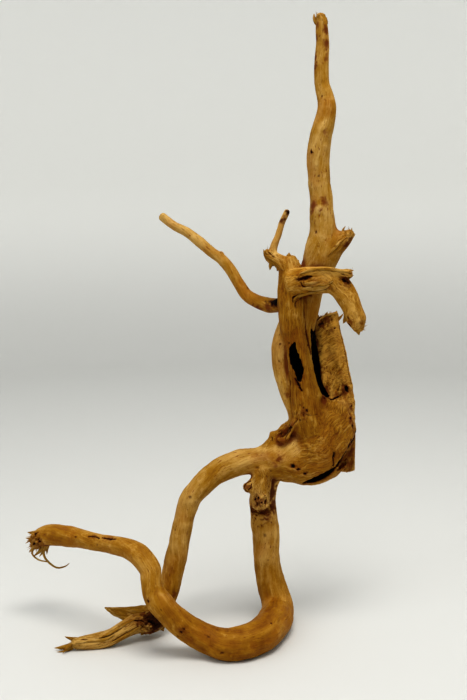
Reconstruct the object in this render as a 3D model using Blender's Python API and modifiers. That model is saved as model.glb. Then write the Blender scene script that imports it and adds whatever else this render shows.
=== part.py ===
# Red moor wood root, one naturally grown piece, in metres with +Z up and the front towards -Y.
# Every limb is a hand-placed centre line with its half-widths, in millimetres, joined as one solid.

from math import cos, pi, sin

import bmesh
import bpy
from mathutils import Vector

# Driving dimensions, in millimetres unless said otherwise
MM = 0.001
VOXEL = 1.8
LIMB_SIDES = 16
SPLINTER_SIDES = 5
HOLLOW_SIDES = 8
STEPS_PER_SPAN = 6
STEPS_IN_HOLLOW = 4
STEPS_IN_HANGING = 3
SMOOTH_PASSES = 5
SMOOTH_FACTOR = 0.5
KEPT_SHARE = 0.085
FLOOR_BLOCK_DEPTH = 30.0
FLOOR_BLOCK_HALF = 400.0
SPLINTER_WAIST = 0.55
SPLINTER_WAIST_SHARE = 0.72
SPLINTER_BEND = 0.06
SPLINTER_HEEL = -0.12
END_ROUNDING = 0.55
END_SHARE = 0.72

# Directions across which a limb is as wide as given: seen level, or from above for what lies low
LEVEL = (0.0, 1.0, 0.0)
LOW = (0.0, 0.9, -0.43)

# Limbs: points are (x, y, z, half width across, half depth)
UPRIGHT = [
    (110.5, 46, 516, 3.8, 3.2), (111.5, 46, 507, 5.0, 4.3), (112, 46, 493, 5.5, 4.8),
    (111, 45, 476, 6.1, 5.3), (112, 44, 461, 6.2, 5.4), (115, 42, 450, 7.0, 6.0),
    (116, 40, 440, 7.9, 6.8), (114, 39, 429, 8.6, 7.5), (110.5, 38, 416, 9.2, 8.0),
    (109.5, 37, 399, 9.4, 8.2), (110, 36, 383, 9.2, 8.0), (111.5, 35, 368, 9.5, 8.2),
    (112.5, 34, 353, 10.4, 8.8), (113.5, 33, 340, 11.4, 9.2), (111.5, 32, 327, 12.7, 10.2),
    (109, 31, 315, 13.2, 9.9), (105, 29, 303, 12.0, 9.0), (102, 27, 287, 10.6, 8.5),
    (100, 26, 270, 9.4, 7.6), (98, 25, 253, 8.3, 6.8), (98, 24, 236, 8.6, 7.0),
    (100, 23, 219, 9.5, 7.6), (103, 22, 202, 11.0, 8.4),
]
FRONT_STRAND = [
    (84, 22, 315, 7.3, 5.9), (86, 20, 305, 8.9, 7.2), (87, 18, 291, 10.3, 7.8),
    (88, 17, 278, 11.0, 8.3), (89, 17, 262, 10.6, 8.0), (92, 17, 246, 8.1, 7.0),
    (94, 17, 230, 9.0, 7.7), (97, 18, 213, 10.7, 8.6), (100, 19, 195, 13.1, 9.8),
    (104, 21, 178, 16.1, 12.1),
]
LEFT_LOBE = [
    (84, 26, 270, 5.2, 5.2), (81, 26, 256, 7.4, 7.6), (79, 26, 243, 8.7, 9.0),
    (79, 26, 229, 8.5, 9.0), (82, 25, 214, 8.3, 8.6), (86, 24, 200, 7.7, 8.0),
    (91, 23, 188, 7.4, 7.8), (94, 22, 175, 7.9, 8.0),
]
SLAB = [
    (115.5, 43, 267, 9.6, 5.9), (117, 43, 253, 12.4, 6.8), (118, 43, 239, 14.5, 7.4),
    (120, 41, 224, 15.8, 8.4), (122, 38, 209, 16.8, 9.6), (124.5, 35, 194, 17.0, 11.5),
    (124, 32, 177, 17.6, 14.0),
]
BACK_WALL = [
    (97, 33, 176, 12.0, 8.0), (95, 37, 200, 12.5, 5.6), (93, 39, 225, 12.3, 5.0),
    (92, 38, 250, 11.0, 5.0), (91, 33, 272, 8.5, 5.2), (90, 27, 290, 7.0, 5.5),
]
BURL = [
    (123, 28, 191, 12.8, 10.5), (121, 27, 179, 19.5, 15.5), (118, 26, 167, 23.0, 18.5),
    (113, 25, 155, 23.6, 19.0), (104, 24, 145, 20.4, 16.5), (95, 23, 141, 16.0, 13.0),
]
BURL_FOOT = [
    (130, 27, 173, 11.6, 10.5), (124, 26, 159, 15.0, 13.5), (114, 25, 147, 17.6, 16.0),
    (102, 24, 143.5, 16.8, 15.0), (86, 22, 143.5, 15.9, 13.5), (74, 21, 145.5, 14.0, 12.2),
]
PLANK = [(134, 40, 190, 7.0, 5.5), (133.5, 42, 170, 8.0, 5.0), (133, 42, 155, 8.4, 4.4), (133, 41, 141, 8.6, 3.8)]
LEFT_LEG = [
    (92, 22, 155, 16.2, 11.4), (78, 21, 148, 15.0, 12.0), (63, 19, 146, 12.5, 11.2),
    (49, 17, 145.5, 11.0, 10.5), (37, 14, 142.8, 10.8, 10.6), (27, 12, 138.6, 10.4, 10.3),
    (18, 10, 132, 9.8, 9.8), (10, 8, 124, 9.5, 9.5), (3, 6, 116, 9.3, 9.3),
    (-0.5, 5, 107, 9.0, 9.0), (-3.5, 4, 96, 8.2, 9.0), (-7, 2, 80, 9.0, 9.8),
    (-9.7, 0, 65, 9.2, 10.0), (-12.7, -4, 51, 8.9, 9.7), (-15.5, -9, 36, 8.8, 9.3),
    (-20.5, -12, 23, 9.2, 9.4), (-26, -15, 14.5, 9.8, 9.4),
]
COLLAR_KNOB = [(79, 22, 162, 4.2, 4.2), (75.5, 20, 168.5, 3.0, 3.0)]
COLLAR = [(91, 23, 180, 4.0, 4.0), (83, 23, 172, 5.8, 5.8), (75, 22, 164, 5.8, 5.8), (67, 21, 155, 6.2, 6.2)]
STUB = [(64, 15, 139, 7.9, 7.9), (62, 12, 127, 9.1, 9.0), (62, 10, 118, 7.9, 7.8), (62, 9, 113, 6.6, 6.6)]
STUB_KNOB = [(63, 13, 130, 5.3, 5.3), (54.5, 11, 127.5, 5.3, 5.3), (50, 10, 124.5, 4.0, 4.0)]
LOOP_LEG = [
    (71, 27, 132, 7.6, 7.6), (66, 27, 121, 9.3, 9.3), (62, 27, 108, 11.4, 11.4),
    (63, 27, 94, 11.6, 11.6), (65, 28, 77, 11.8, 11.8), (65, 29, 61, 11.6, 11.6),
    (66, 30, 48, 11.8, 11.8), (69, 30, 35, 12.4, 12.4), (73, 28, 22, 13.3, 13.0),
]
LOOP_FLOOR = [
    (66, 30, 46, 10.0, 10.0), (70, 30, 30, 11.5, 11.5), (74, 26, 17, 13.6, 13.0),
    (76, 14, 12.2, 14.2, 12.9), (75, -4, 12.4, 14.3, 12.9), (69, -28, 13.6, 13.8, 12.0),
    (57, -43, 12.6, 13.2, 11.6), (42, -49, 11.4, 12.7, 11.4), (27, -47, 13.4, 11.9, 11.1),
    (13, -48, 20.4, 11.0, 10.6), (0, -50, 30.6, 10.2, 10.2), (-10.5, -52, 42.5, 10.2, 10.2),
]
LEFT_ARM = [
    (0, -50, 31, 9.4, 9.4), (-10.5, -52, 43, 10.0, 10.0), (-18.3, -48, 51, 9.4, 9.2),
    (-21.3, -45, 61, 8.6, 8.5), (-23.2, -41, 69, 8.8, 8.8), (-32, -36, 77, 9.0, 9.0),
    (-45, -29, 81, 8.2, 8.2), (-61, -21, 80.8, 7.4, 7.4), (-78, -13, 79.5, 7.4, 7.3),
    (-94, -5, 79, 8.4, 8.4), (-110, 2, 78.3, 9.3, 9.4), (-126, 8, 76.6, 9.3, 9.4),
    (-135, 11, 72.5, 8.4, 8.2),
]
HEEL = [(71, 24, 18, 7.0, 7.0), (74, 31, 9.2, 9.5, 9.8), (77, 20, 11, 9.0, 9.6)]
FOOT = [
    (-22, -14, 15, 9.4, 9.0), (-31, -20, 14.5, 9.8, 8.8), (-40, -26, 14.3, 8.0, 7.4),
    (-50, -33, 10.6, 7.2, 6.7), (-59, -39, 7, 6.9, 6.3), (-68, -43, 5.2, 6.6, 5.9),
    (-79, -47, 5.2, 5.8, 5.4), (-88, -51, 5.6, 4.4, 4.0),
]
LEFT_BRANCH = [
    (78, 29, 279, 6.1, 6.1), (68, 35, 278.3, 6.4, 6.4), (57, 38, 281.5, 5.8, 5.8),
    (47.5, 41, 287, 5.4, 5.4), (40.7, 43, 296.6, 5.0, 5.0), (33.8, 45, 307.6, 5.0, 5.0),
    (25.7, 47, 317, 4.6, 4.6), (15.7, 49, 324, 4.5, 4.5), (4.7, 51, 333, 4.6, 4.6),
    (-6.4, 54, 341, 4.3, 4.3), (-18.5, 57, 347, 3.9, 3.9), (-29, 60, 354.6, 3.8, 3.8),
]
BRANCH_NUB = [(27, 47, 314, 3.2, 3.2), (25, 46, 322, 2.2, 2.2)]
TWIG = [
    (71, 24, 318, 3.6, 3.6), (72, 25, 327, 3.3, 3.3), (76, 27, 338, 2.8, 2.8),
    (79, 29, 348, 2.7, 2.7), (83, 31, 357, 2.6, 2.6),
]
TOP_BLOCK = [(70, 22, 316, 3.6, 3.6), (76, 22, 316, 5.2, 5.2), (84, 22, 315, 6.9, 6.9), (91, 23, 310, 6.0, 6.0)]
CURLED_ARM = [
    (95, 15, 298, 10.9, 8.8), (107, 12, 301, 11.3, 8.5), (119, 10, 301, 10.4, 8.4),
    (128, 8, 298, 10.2, 8.2), (135.3, 6, 288.6, 9.4, 7.6), (139, 4, 277, 8.6, 7.0), (142, 3, 267.5, 7.4, 6.0),
]
RIGHT_STUB = [(117, 32, 318, 10.0, 8.0), (124, 32, 326.5, 9.2, 7.0), (130, 32, 333.5, 7.0, 5.4), (134.5, 32, 338.5, 5.0, 4.0)]

STANDING_LIMBS = [
    UPRIGHT, COLLAR_KNOB, BACK_WALL, FRONT_STRAND, LEFT_LOBE, SLAB, BURL, BURL_FOOT, PLANK, LEFT_LEG, COLLAR, STUB,
    STUB_KNOB, LOOP_LEG, LEFT_ARM, LEFT_BRANCH, BRANCH_NUB, TWIG, TOP_BLOCK, CURLED_ARM, RIGHT_STUB,
]
LYING_LIMBS = [LOOP_FLOOR, HEEL, FOOT]

# Splinters: name, root, tip, half width and half thickness at the root
SPLINTERS = [
    ("top_left", (110, 46, 509), (105.5, 46, 518), 2.8, 2.0),
    ("top_middle", (111, 45, 508), (111, 44, 519), 3.4, 2.2),
    ("top_right", (113, 45, 508), (114, 46, 516), 2.6, 1.8),
    ("stub_top_left", (131, 32, 335), (133, 31, 346), 2.6, 1.8),
    ("stub_top_right", (132, 32, 335), (138, 33, 344), 2.8, 1.8),
    ("stub_side", (130, 32, 334), (140, 32, 338), 4.2, 3.2),
    ("block_spike", (72, 22, 314), (64, 21, 327), 3.4, 2.4),
    ("block_ragged_left", (74, 21, 317), (69, 19, 308), 3.2, 1.9),
    ("block_ragged_right", (77, 22, 316), (76, 20, 308), 2.8, 1.7),
    ("block_top", (85, 22, 310), (86, 22, 323), 5.2, 4.2),
    ("block_top_right", (87, 22, 308), (94, 22, 317), 4.2, 4.2),
    ("block_left", (74, 22, 316), (67, 22, 319), 4.2, 3.2),
    ("slab_top_thin", (117, 43, 261), (131, 42, 271), 2.2, 1.6),
    ("slab_top_left", (112, 43, 259), (109, 42, 270), 3.2, 2.4),
    ("slab_top_middle", (117, 43, 259), (117, 42, 272), 4.2, 2.6),
    ("slab_top_right", (122, 43, 259), (125, 43, 273), 3.6, 2.4),
    ("arm_torn_upper", (123, 9, 304), (139, 5, 309), 3.6, 2.3),
    ("arm_torn_lower", (125, 8, 302), (139, 4, 305), 3.2, 2.2),
    ("arm_tip", (138, 3, 274), (144, 2, 257), 5.2, 3.8),
    ("arm_tip_side", (138, 3, 277), (149, 4, 269), 4.8, 3.2),
    ("arm_under", (135, 5, 276), (131, 5, 266), 3.0, 2.2),
    ("foot_spike", (-30, -20, 19.5), (-68, -22, 24.8), 7.6, 4.2),
    ("foot_spike_lower", (-32, -21, 14.5), (-54, -24, 18.5), 5.6, 3.6),
    ("base_ragged_left", (-30, -16, 12), (-38, -19, 0.8), 4.2, 2.8),
    ("base_ragged_middle", (-27, -13, 12), (-31, -17, 0.8), 4.6, 3.2),
    ("base_ragged_right", (-25, -12, 13), (-19.5, -14, 3), 5.0, 3.6),
    ("foot_prong_left", (-80, -47, 5.6), (-102, -54, 2.6), 3.8, 2.8),
    ("foot_prong_front", (-86, -50, 5.4), (-93, -60, 1.6), 2.8, 2.0),
    ("foot_prong_upper", (-78, -46, 7), (-95, -48, 10), 3.0, 2.2),
    ("frayed_level", (-128, 9, 77), (-154, 15, 68), 4.2, 2.6),
    ("frayed_left", (-127, 8, 76), (-151, 13, 62), 4.2, 2.6),
    ("frayed_lower_left", (-126, 8, 75), (-148, 9, 57), 3.6, 2.2),
    ("frayed_lower", (-126, 8, 75), (-141, 7, 56), 3.8, 2.4),
    ("frayed_down_left", (-125, 10, 75), (-136, 9, 58), 3.8, 2.4),
    ("frayed_down", (-124, 9, 75), (-130, 12, 58), 3.6, 2.2),
    ("frayed_upper", (-127, 10, 79), (-150, 15, 76), 4.6, 2.8),
]
HANGING_SPLINTER = [
    (-129, 9, 71, 3.0, 2.4), (-132, 8, 60, 2.0, 1.8), (-129, 8, 52.5, 1.8, 1.6),
    (-121, 9, 46, 1.6, 1.5), (-113, 9, 47.5, 1.1, 1.0),
]

# Hollows: routes of what rot and cracks took away
HOLLOWS = [
    ("trunk_hole", [(91, 17, 249, 1.2, 12), (90, 17, 243, 3.4, 13), (92, 17, 234, 4.5, 13.5),
                    (95, 17, 226, 4.0, 13.2), (95, 17, 218, 1.2, 12)]),
    ("burl_crack", [(98, 14, 129, 1.0, 6), (106, 13, 132, 2.2, 8), (116, 13, 137, 2.4, 9),
                    (124, 14, 142, 2.6, 9), (132, 16, 153, 2.2, 8), (138, 18, 163, 2.4, 9),
                    (145, 19, 172, 2.4, 9)]),
    ("torn_mouth", [(-38, -31, 24, 2.0, 6), (-30, -31, 20, 4.6, 8), (-22, -29, 15, 5.0, 8),
                    (-14, -27, 12, 2.0, 6)]),
    ("arm_pit", [(129, -2, 302, 1.4, 3.6), (133, -2, 301, 2.4, 5), (137, -2, 300, 1.4, 3.6)]),
    ("arm_root_pit", [(94, 2, 302, 1.2, 3.9), (101, 2, 303, 2.2, 5), (108, 2, 303, 1.2, 3.9)]),
]
# Middle of the box round the limbs as placed: taken off, so the root stands over the frame's axis
MIDDLE = Vector((-2.5, 0.7, 0.0))

WOOD_COLOUR = (0.46, 0.25, 0.085, 1.0)
WOOD_ROUGHNESS = 0.68


def clear_scene():
    for obj in list(bpy.data.objects):
        bpy.data.objects.remove(obj, do_unlink=True)
    for block in list(bpy.data.collections):
        bpy.data.collections.remove(block)


def new_collection(name, hidden):
    made = bpy.data.collections.new(name)
    bpy.context.scene.collection.children.link(made)
    made.hide_render = hidden
    return made


def smooth_route(points, steps):
    """Points along a rounded curve through the given ones."""
    rows = [list(map(float, p)) for p in points]
    route = []
    for i in range(len(rows) - 1):
        before, here = rows[max(i - 1, 0)], rows[i]
        there, after = rows[i + 1], rows[min(i + 2, len(rows) - 1)]
        for k in range(steps):
            t = k / steps
            route.append([
                0.5 * (2 * b + (c - a) * t + (2 * a - 5 * b + 4 * c - d) * t * t
                       + (3 * b - a - 3 * c + d) * t ** 3)
                for a, b, c, d in zip(before, here, there, after)
            ])
    route.append(rows[-1])
    return route


def with_rounded_ends(route):
    """The route with a smaller section added beyond each end, and the two end points."""
    first, last = route[0], route[-1]
    out_first = (Vector(first[:3]) - Vector(route[1][:3])).normalized()
    out_last = (Vector(last[:3]) - Vector(route[-2][:3])).normalized()
    start = [*(Vector(first[:3]) + out_first * first[3] * END_ROUNDING),
             first[3] * END_SHARE, first[4] * END_SHARE]
    end = [*(Vector(last[:3]) + out_last * last[3] * END_ROUNDING),
           last[3] * END_SHARE, last[4] * END_SHARE]
    start_point = Vector(first[:3]) + out_first * first[3] * 2 * END_ROUNDING * END_SHARE
    end_point = Vector(last[:3]) + out_last * last[3] * 2 * END_ROUNDING * END_SHARE
    return [start, *route, end], start_point, end_point


def add_tube(vertices, faces, route, facing, sides, start_point, end_point):
    """Adds one closed tube with elliptical sections to the lists."""
    facing = Vector(facing)
    base = len(vertices)
    across_before = None
    for i, row in enumerate(route):
        here = Vector(row[:3])
        ahead = Vector(route[min(i + 1, len(route) - 1)][:3])
        behind = Vector(route[max(i - 1, 0)][:3])
        along = (ahead - behind).normalized()
        across = along.cross(facing).normalized()
        if across_before is not None and across.dot(across_before) < 0:
            across.negate()
        across_before = across
        deep = across.cross(along)
        for k in range(sides):
            turn = 2 * pi * k / sides
            rim = here + across * row[3] * cos(turn) + deep * row[4] * sin(turn)
            vertices.append((rim - MIDDLE) * MM)
    for i in range(len(route) - 1):
        for k in range(sides):
            a, b = base + i * sides + k, base + i * sides + (k + 1) % sides
            faces.append((a, b, b + sides, a + sides))
    vertices.append((start_point - MIDDLE) * MM)
    vertices.append((end_point - MIDDLE) * MM)
    first_tip, last_tip = len(vertices) - 2, len(vertices) - 1
    last_ring = base + (len(route) - 1) * sides
    for k in range(sides):
        faces.append((base + (k + 1) % sides, base + k, first_tip))
        faces.append((last_ring + k, last_ring + (k + 1) % sides, last_tip))


def mesh_object(name, vertices, faces, collection):
    mesh = bpy.data.meshes.new(name)
    mesh.from_pydata(vertices, [], faces)
    work = bmesh.new()
    work.from_mesh(mesh)
    bmesh.ops.recalc_face_normals(work, faces=work.faces)
    work.to_mesh(mesh)
    work.free()
    obj = bpy.data.objects.new(name, mesh)
    collection.objects.link(obj)
    return obj


def as_helper(obj):
    obj.hide_render = True
    obj.display_type = "WIRE"
    return obj


def limb_shells():
    """All limbs as closed shells that run into one another."""
    vertices, faces = [], []
    for limbs, facing in ((STANDING_LIMBS, LEVEL), (LYING_LIMBS, LOW)):
        for points in limbs:
            route, start, end = with_rounded_ends(smooth_route(points, STEPS_PER_SPAN))
            add_tube(vertices, faces, route, facing, LIMB_SIDES, start, end)
    return vertices, faces


def splinter(name, root, tip, width, thickness, collection):
    """A flat pointed sliver, thick at its sunk root."""
    root, tip = Vector(root), Vector(tip)
    length = (tip - root).length
    sideways = (tip - root).cross(Vector(LEVEL)).normalized()
    waist = root.lerp(tip, SPLINTER_WAIST) + sideways * length * SPLINTER_BEND
    vertices, faces = [], []
    route = [[*root, width, thickness],
             [*waist, width * SPLINTER_WAIST_SHARE, thickness * SPLINTER_WAIST_SHARE]]
    add_tube(vertices, faces, route, LEVEL, SPLINTER_SIDES, root.lerp(tip, SPLINTER_HEEL), tip)
    return as_helper(mesh_object("splinter_" + name, vertices, faces, collection))


def hollow(name, points, collection):
    route, start, end = with_rounded_ends(smooth_route(points, STEPS_IN_HOLLOW))
    vertices, faces = [], []
    add_tube(vertices, faces, route, LEVEL, HOLLOW_SIDES, start, end)
    return as_helper(mesh_object("hollow_" + name, vertices, faces, collection))


def floor_block(collection):
    """What lies below the floor plane, so the resting spots come out flat."""
    half, deep = FLOOR_BLOCK_HALF * MM, FLOOR_BLOCK_DEPTH * MM
    corners = [(x, y, z) for z in (-deep, 0.0) for x, y in
               ((-half, -half), (half, -half), (half, half), (-half, half))]
    sides = [(0, 1, 2, 3), (4, 5, 6, 7), (0, 1, 5, 4), (1, 2, 6, 5), (2, 3, 7, 6), (3, 0, 4, 7)]
    return as_helper(mesh_object("below_floor", corners, sides, collection))


def wood_material():
    material = bpy.data.materials.new("weathered_wood")
    material.use_nodes = True
    shader = material.node_tree.nodes["Principled BSDF"]
    shader.inputs["Base Color"].default_value = WOOD_COLOUR
    shader.inputs["Roughness"].default_value = WOOD_ROUGHNESS
    return material


def boolean(obj, name, operation, collection):
    step = obj.modifiers.new(name, "BOOLEAN")
    step.operation = operation
    step.operand_type = "COLLECTION"
    step.collection = collection
    step.solver = "EXACT"


def main():
    clear_scene()
    wood = new_collection("red_moor_wood_root", False)
    slivers = new_collection("splinters_to_join", True)
    hollows = new_collection("hollows_to_cut", True)

    for name, root, tip, width, thickness in SPLINTERS:
        splinter(name, root, tip, width, thickness, slivers)
    vertices, faces = [], []
    route, start, end = with_rounded_ends(smooth_route(HANGING_SPLINTER, STEPS_IN_HANGING))
    add_tube(vertices, faces, route, LEVEL, SPLINTER_SIDES, start, end)
    as_helper(mesh_object("splinter_hanging", vertices, faces, slivers))

    for name, points in HOLLOWS:
        hollow(name, points, hollows)
    floor_block(hollows)

    root = mesh_object("moor_wood_root", *limb_shells(), wood)
    root.data.materials.append(wood_material())
    grown = root.modifiers.new("grown as one", "REMESH")
    grown.mode = "VOXEL"
    grown.voxel_size = VOXEL * MM
    worn = root.modifiers.new("worn smooth", "SMOOTH")
    worn.factor = SMOOTH_FACTOR
    worn.iterations = SMOOTH_PASSES
    light = root.modifiers.new("fewer faces", "DECIMATE")
    light.ratio = KEPT_SHARE
    boolean(root, "splinters", "UNION", slivers)
    boolean(root, "hollows and floor", "DIFFERENCE", hollows)


main()
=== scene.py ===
# %% [markdown]
# This is a weathered root of red moor wood that stands on its foot and its loop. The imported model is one
# plain solid. This lesson gives it its real surface: limbs that grew into each other, grain that follows
# every limb, torn ends with splinters and loose fibres, pits, cracks and a dark hollow in the trunk.

import math

import bmesh
import bpy
import numpy as np
from mathutils import Matrix, Vector


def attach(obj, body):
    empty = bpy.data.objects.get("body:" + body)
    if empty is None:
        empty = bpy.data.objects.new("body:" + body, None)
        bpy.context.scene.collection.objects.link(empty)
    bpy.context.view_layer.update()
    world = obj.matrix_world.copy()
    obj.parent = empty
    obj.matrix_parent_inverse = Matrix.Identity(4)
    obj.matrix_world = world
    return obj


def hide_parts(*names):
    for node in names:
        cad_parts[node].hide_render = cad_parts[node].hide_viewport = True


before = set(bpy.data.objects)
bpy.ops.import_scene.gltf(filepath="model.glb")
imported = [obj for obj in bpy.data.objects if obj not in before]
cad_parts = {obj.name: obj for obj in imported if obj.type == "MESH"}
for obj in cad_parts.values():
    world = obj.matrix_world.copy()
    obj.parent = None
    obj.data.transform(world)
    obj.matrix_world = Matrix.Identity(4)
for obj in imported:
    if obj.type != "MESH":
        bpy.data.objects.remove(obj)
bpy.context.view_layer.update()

MM = 0.001
MIDDLE = np.array([-2.5, 0.7, 0.0])  # taken off every place below, in millimetres, as in the solid
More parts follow.
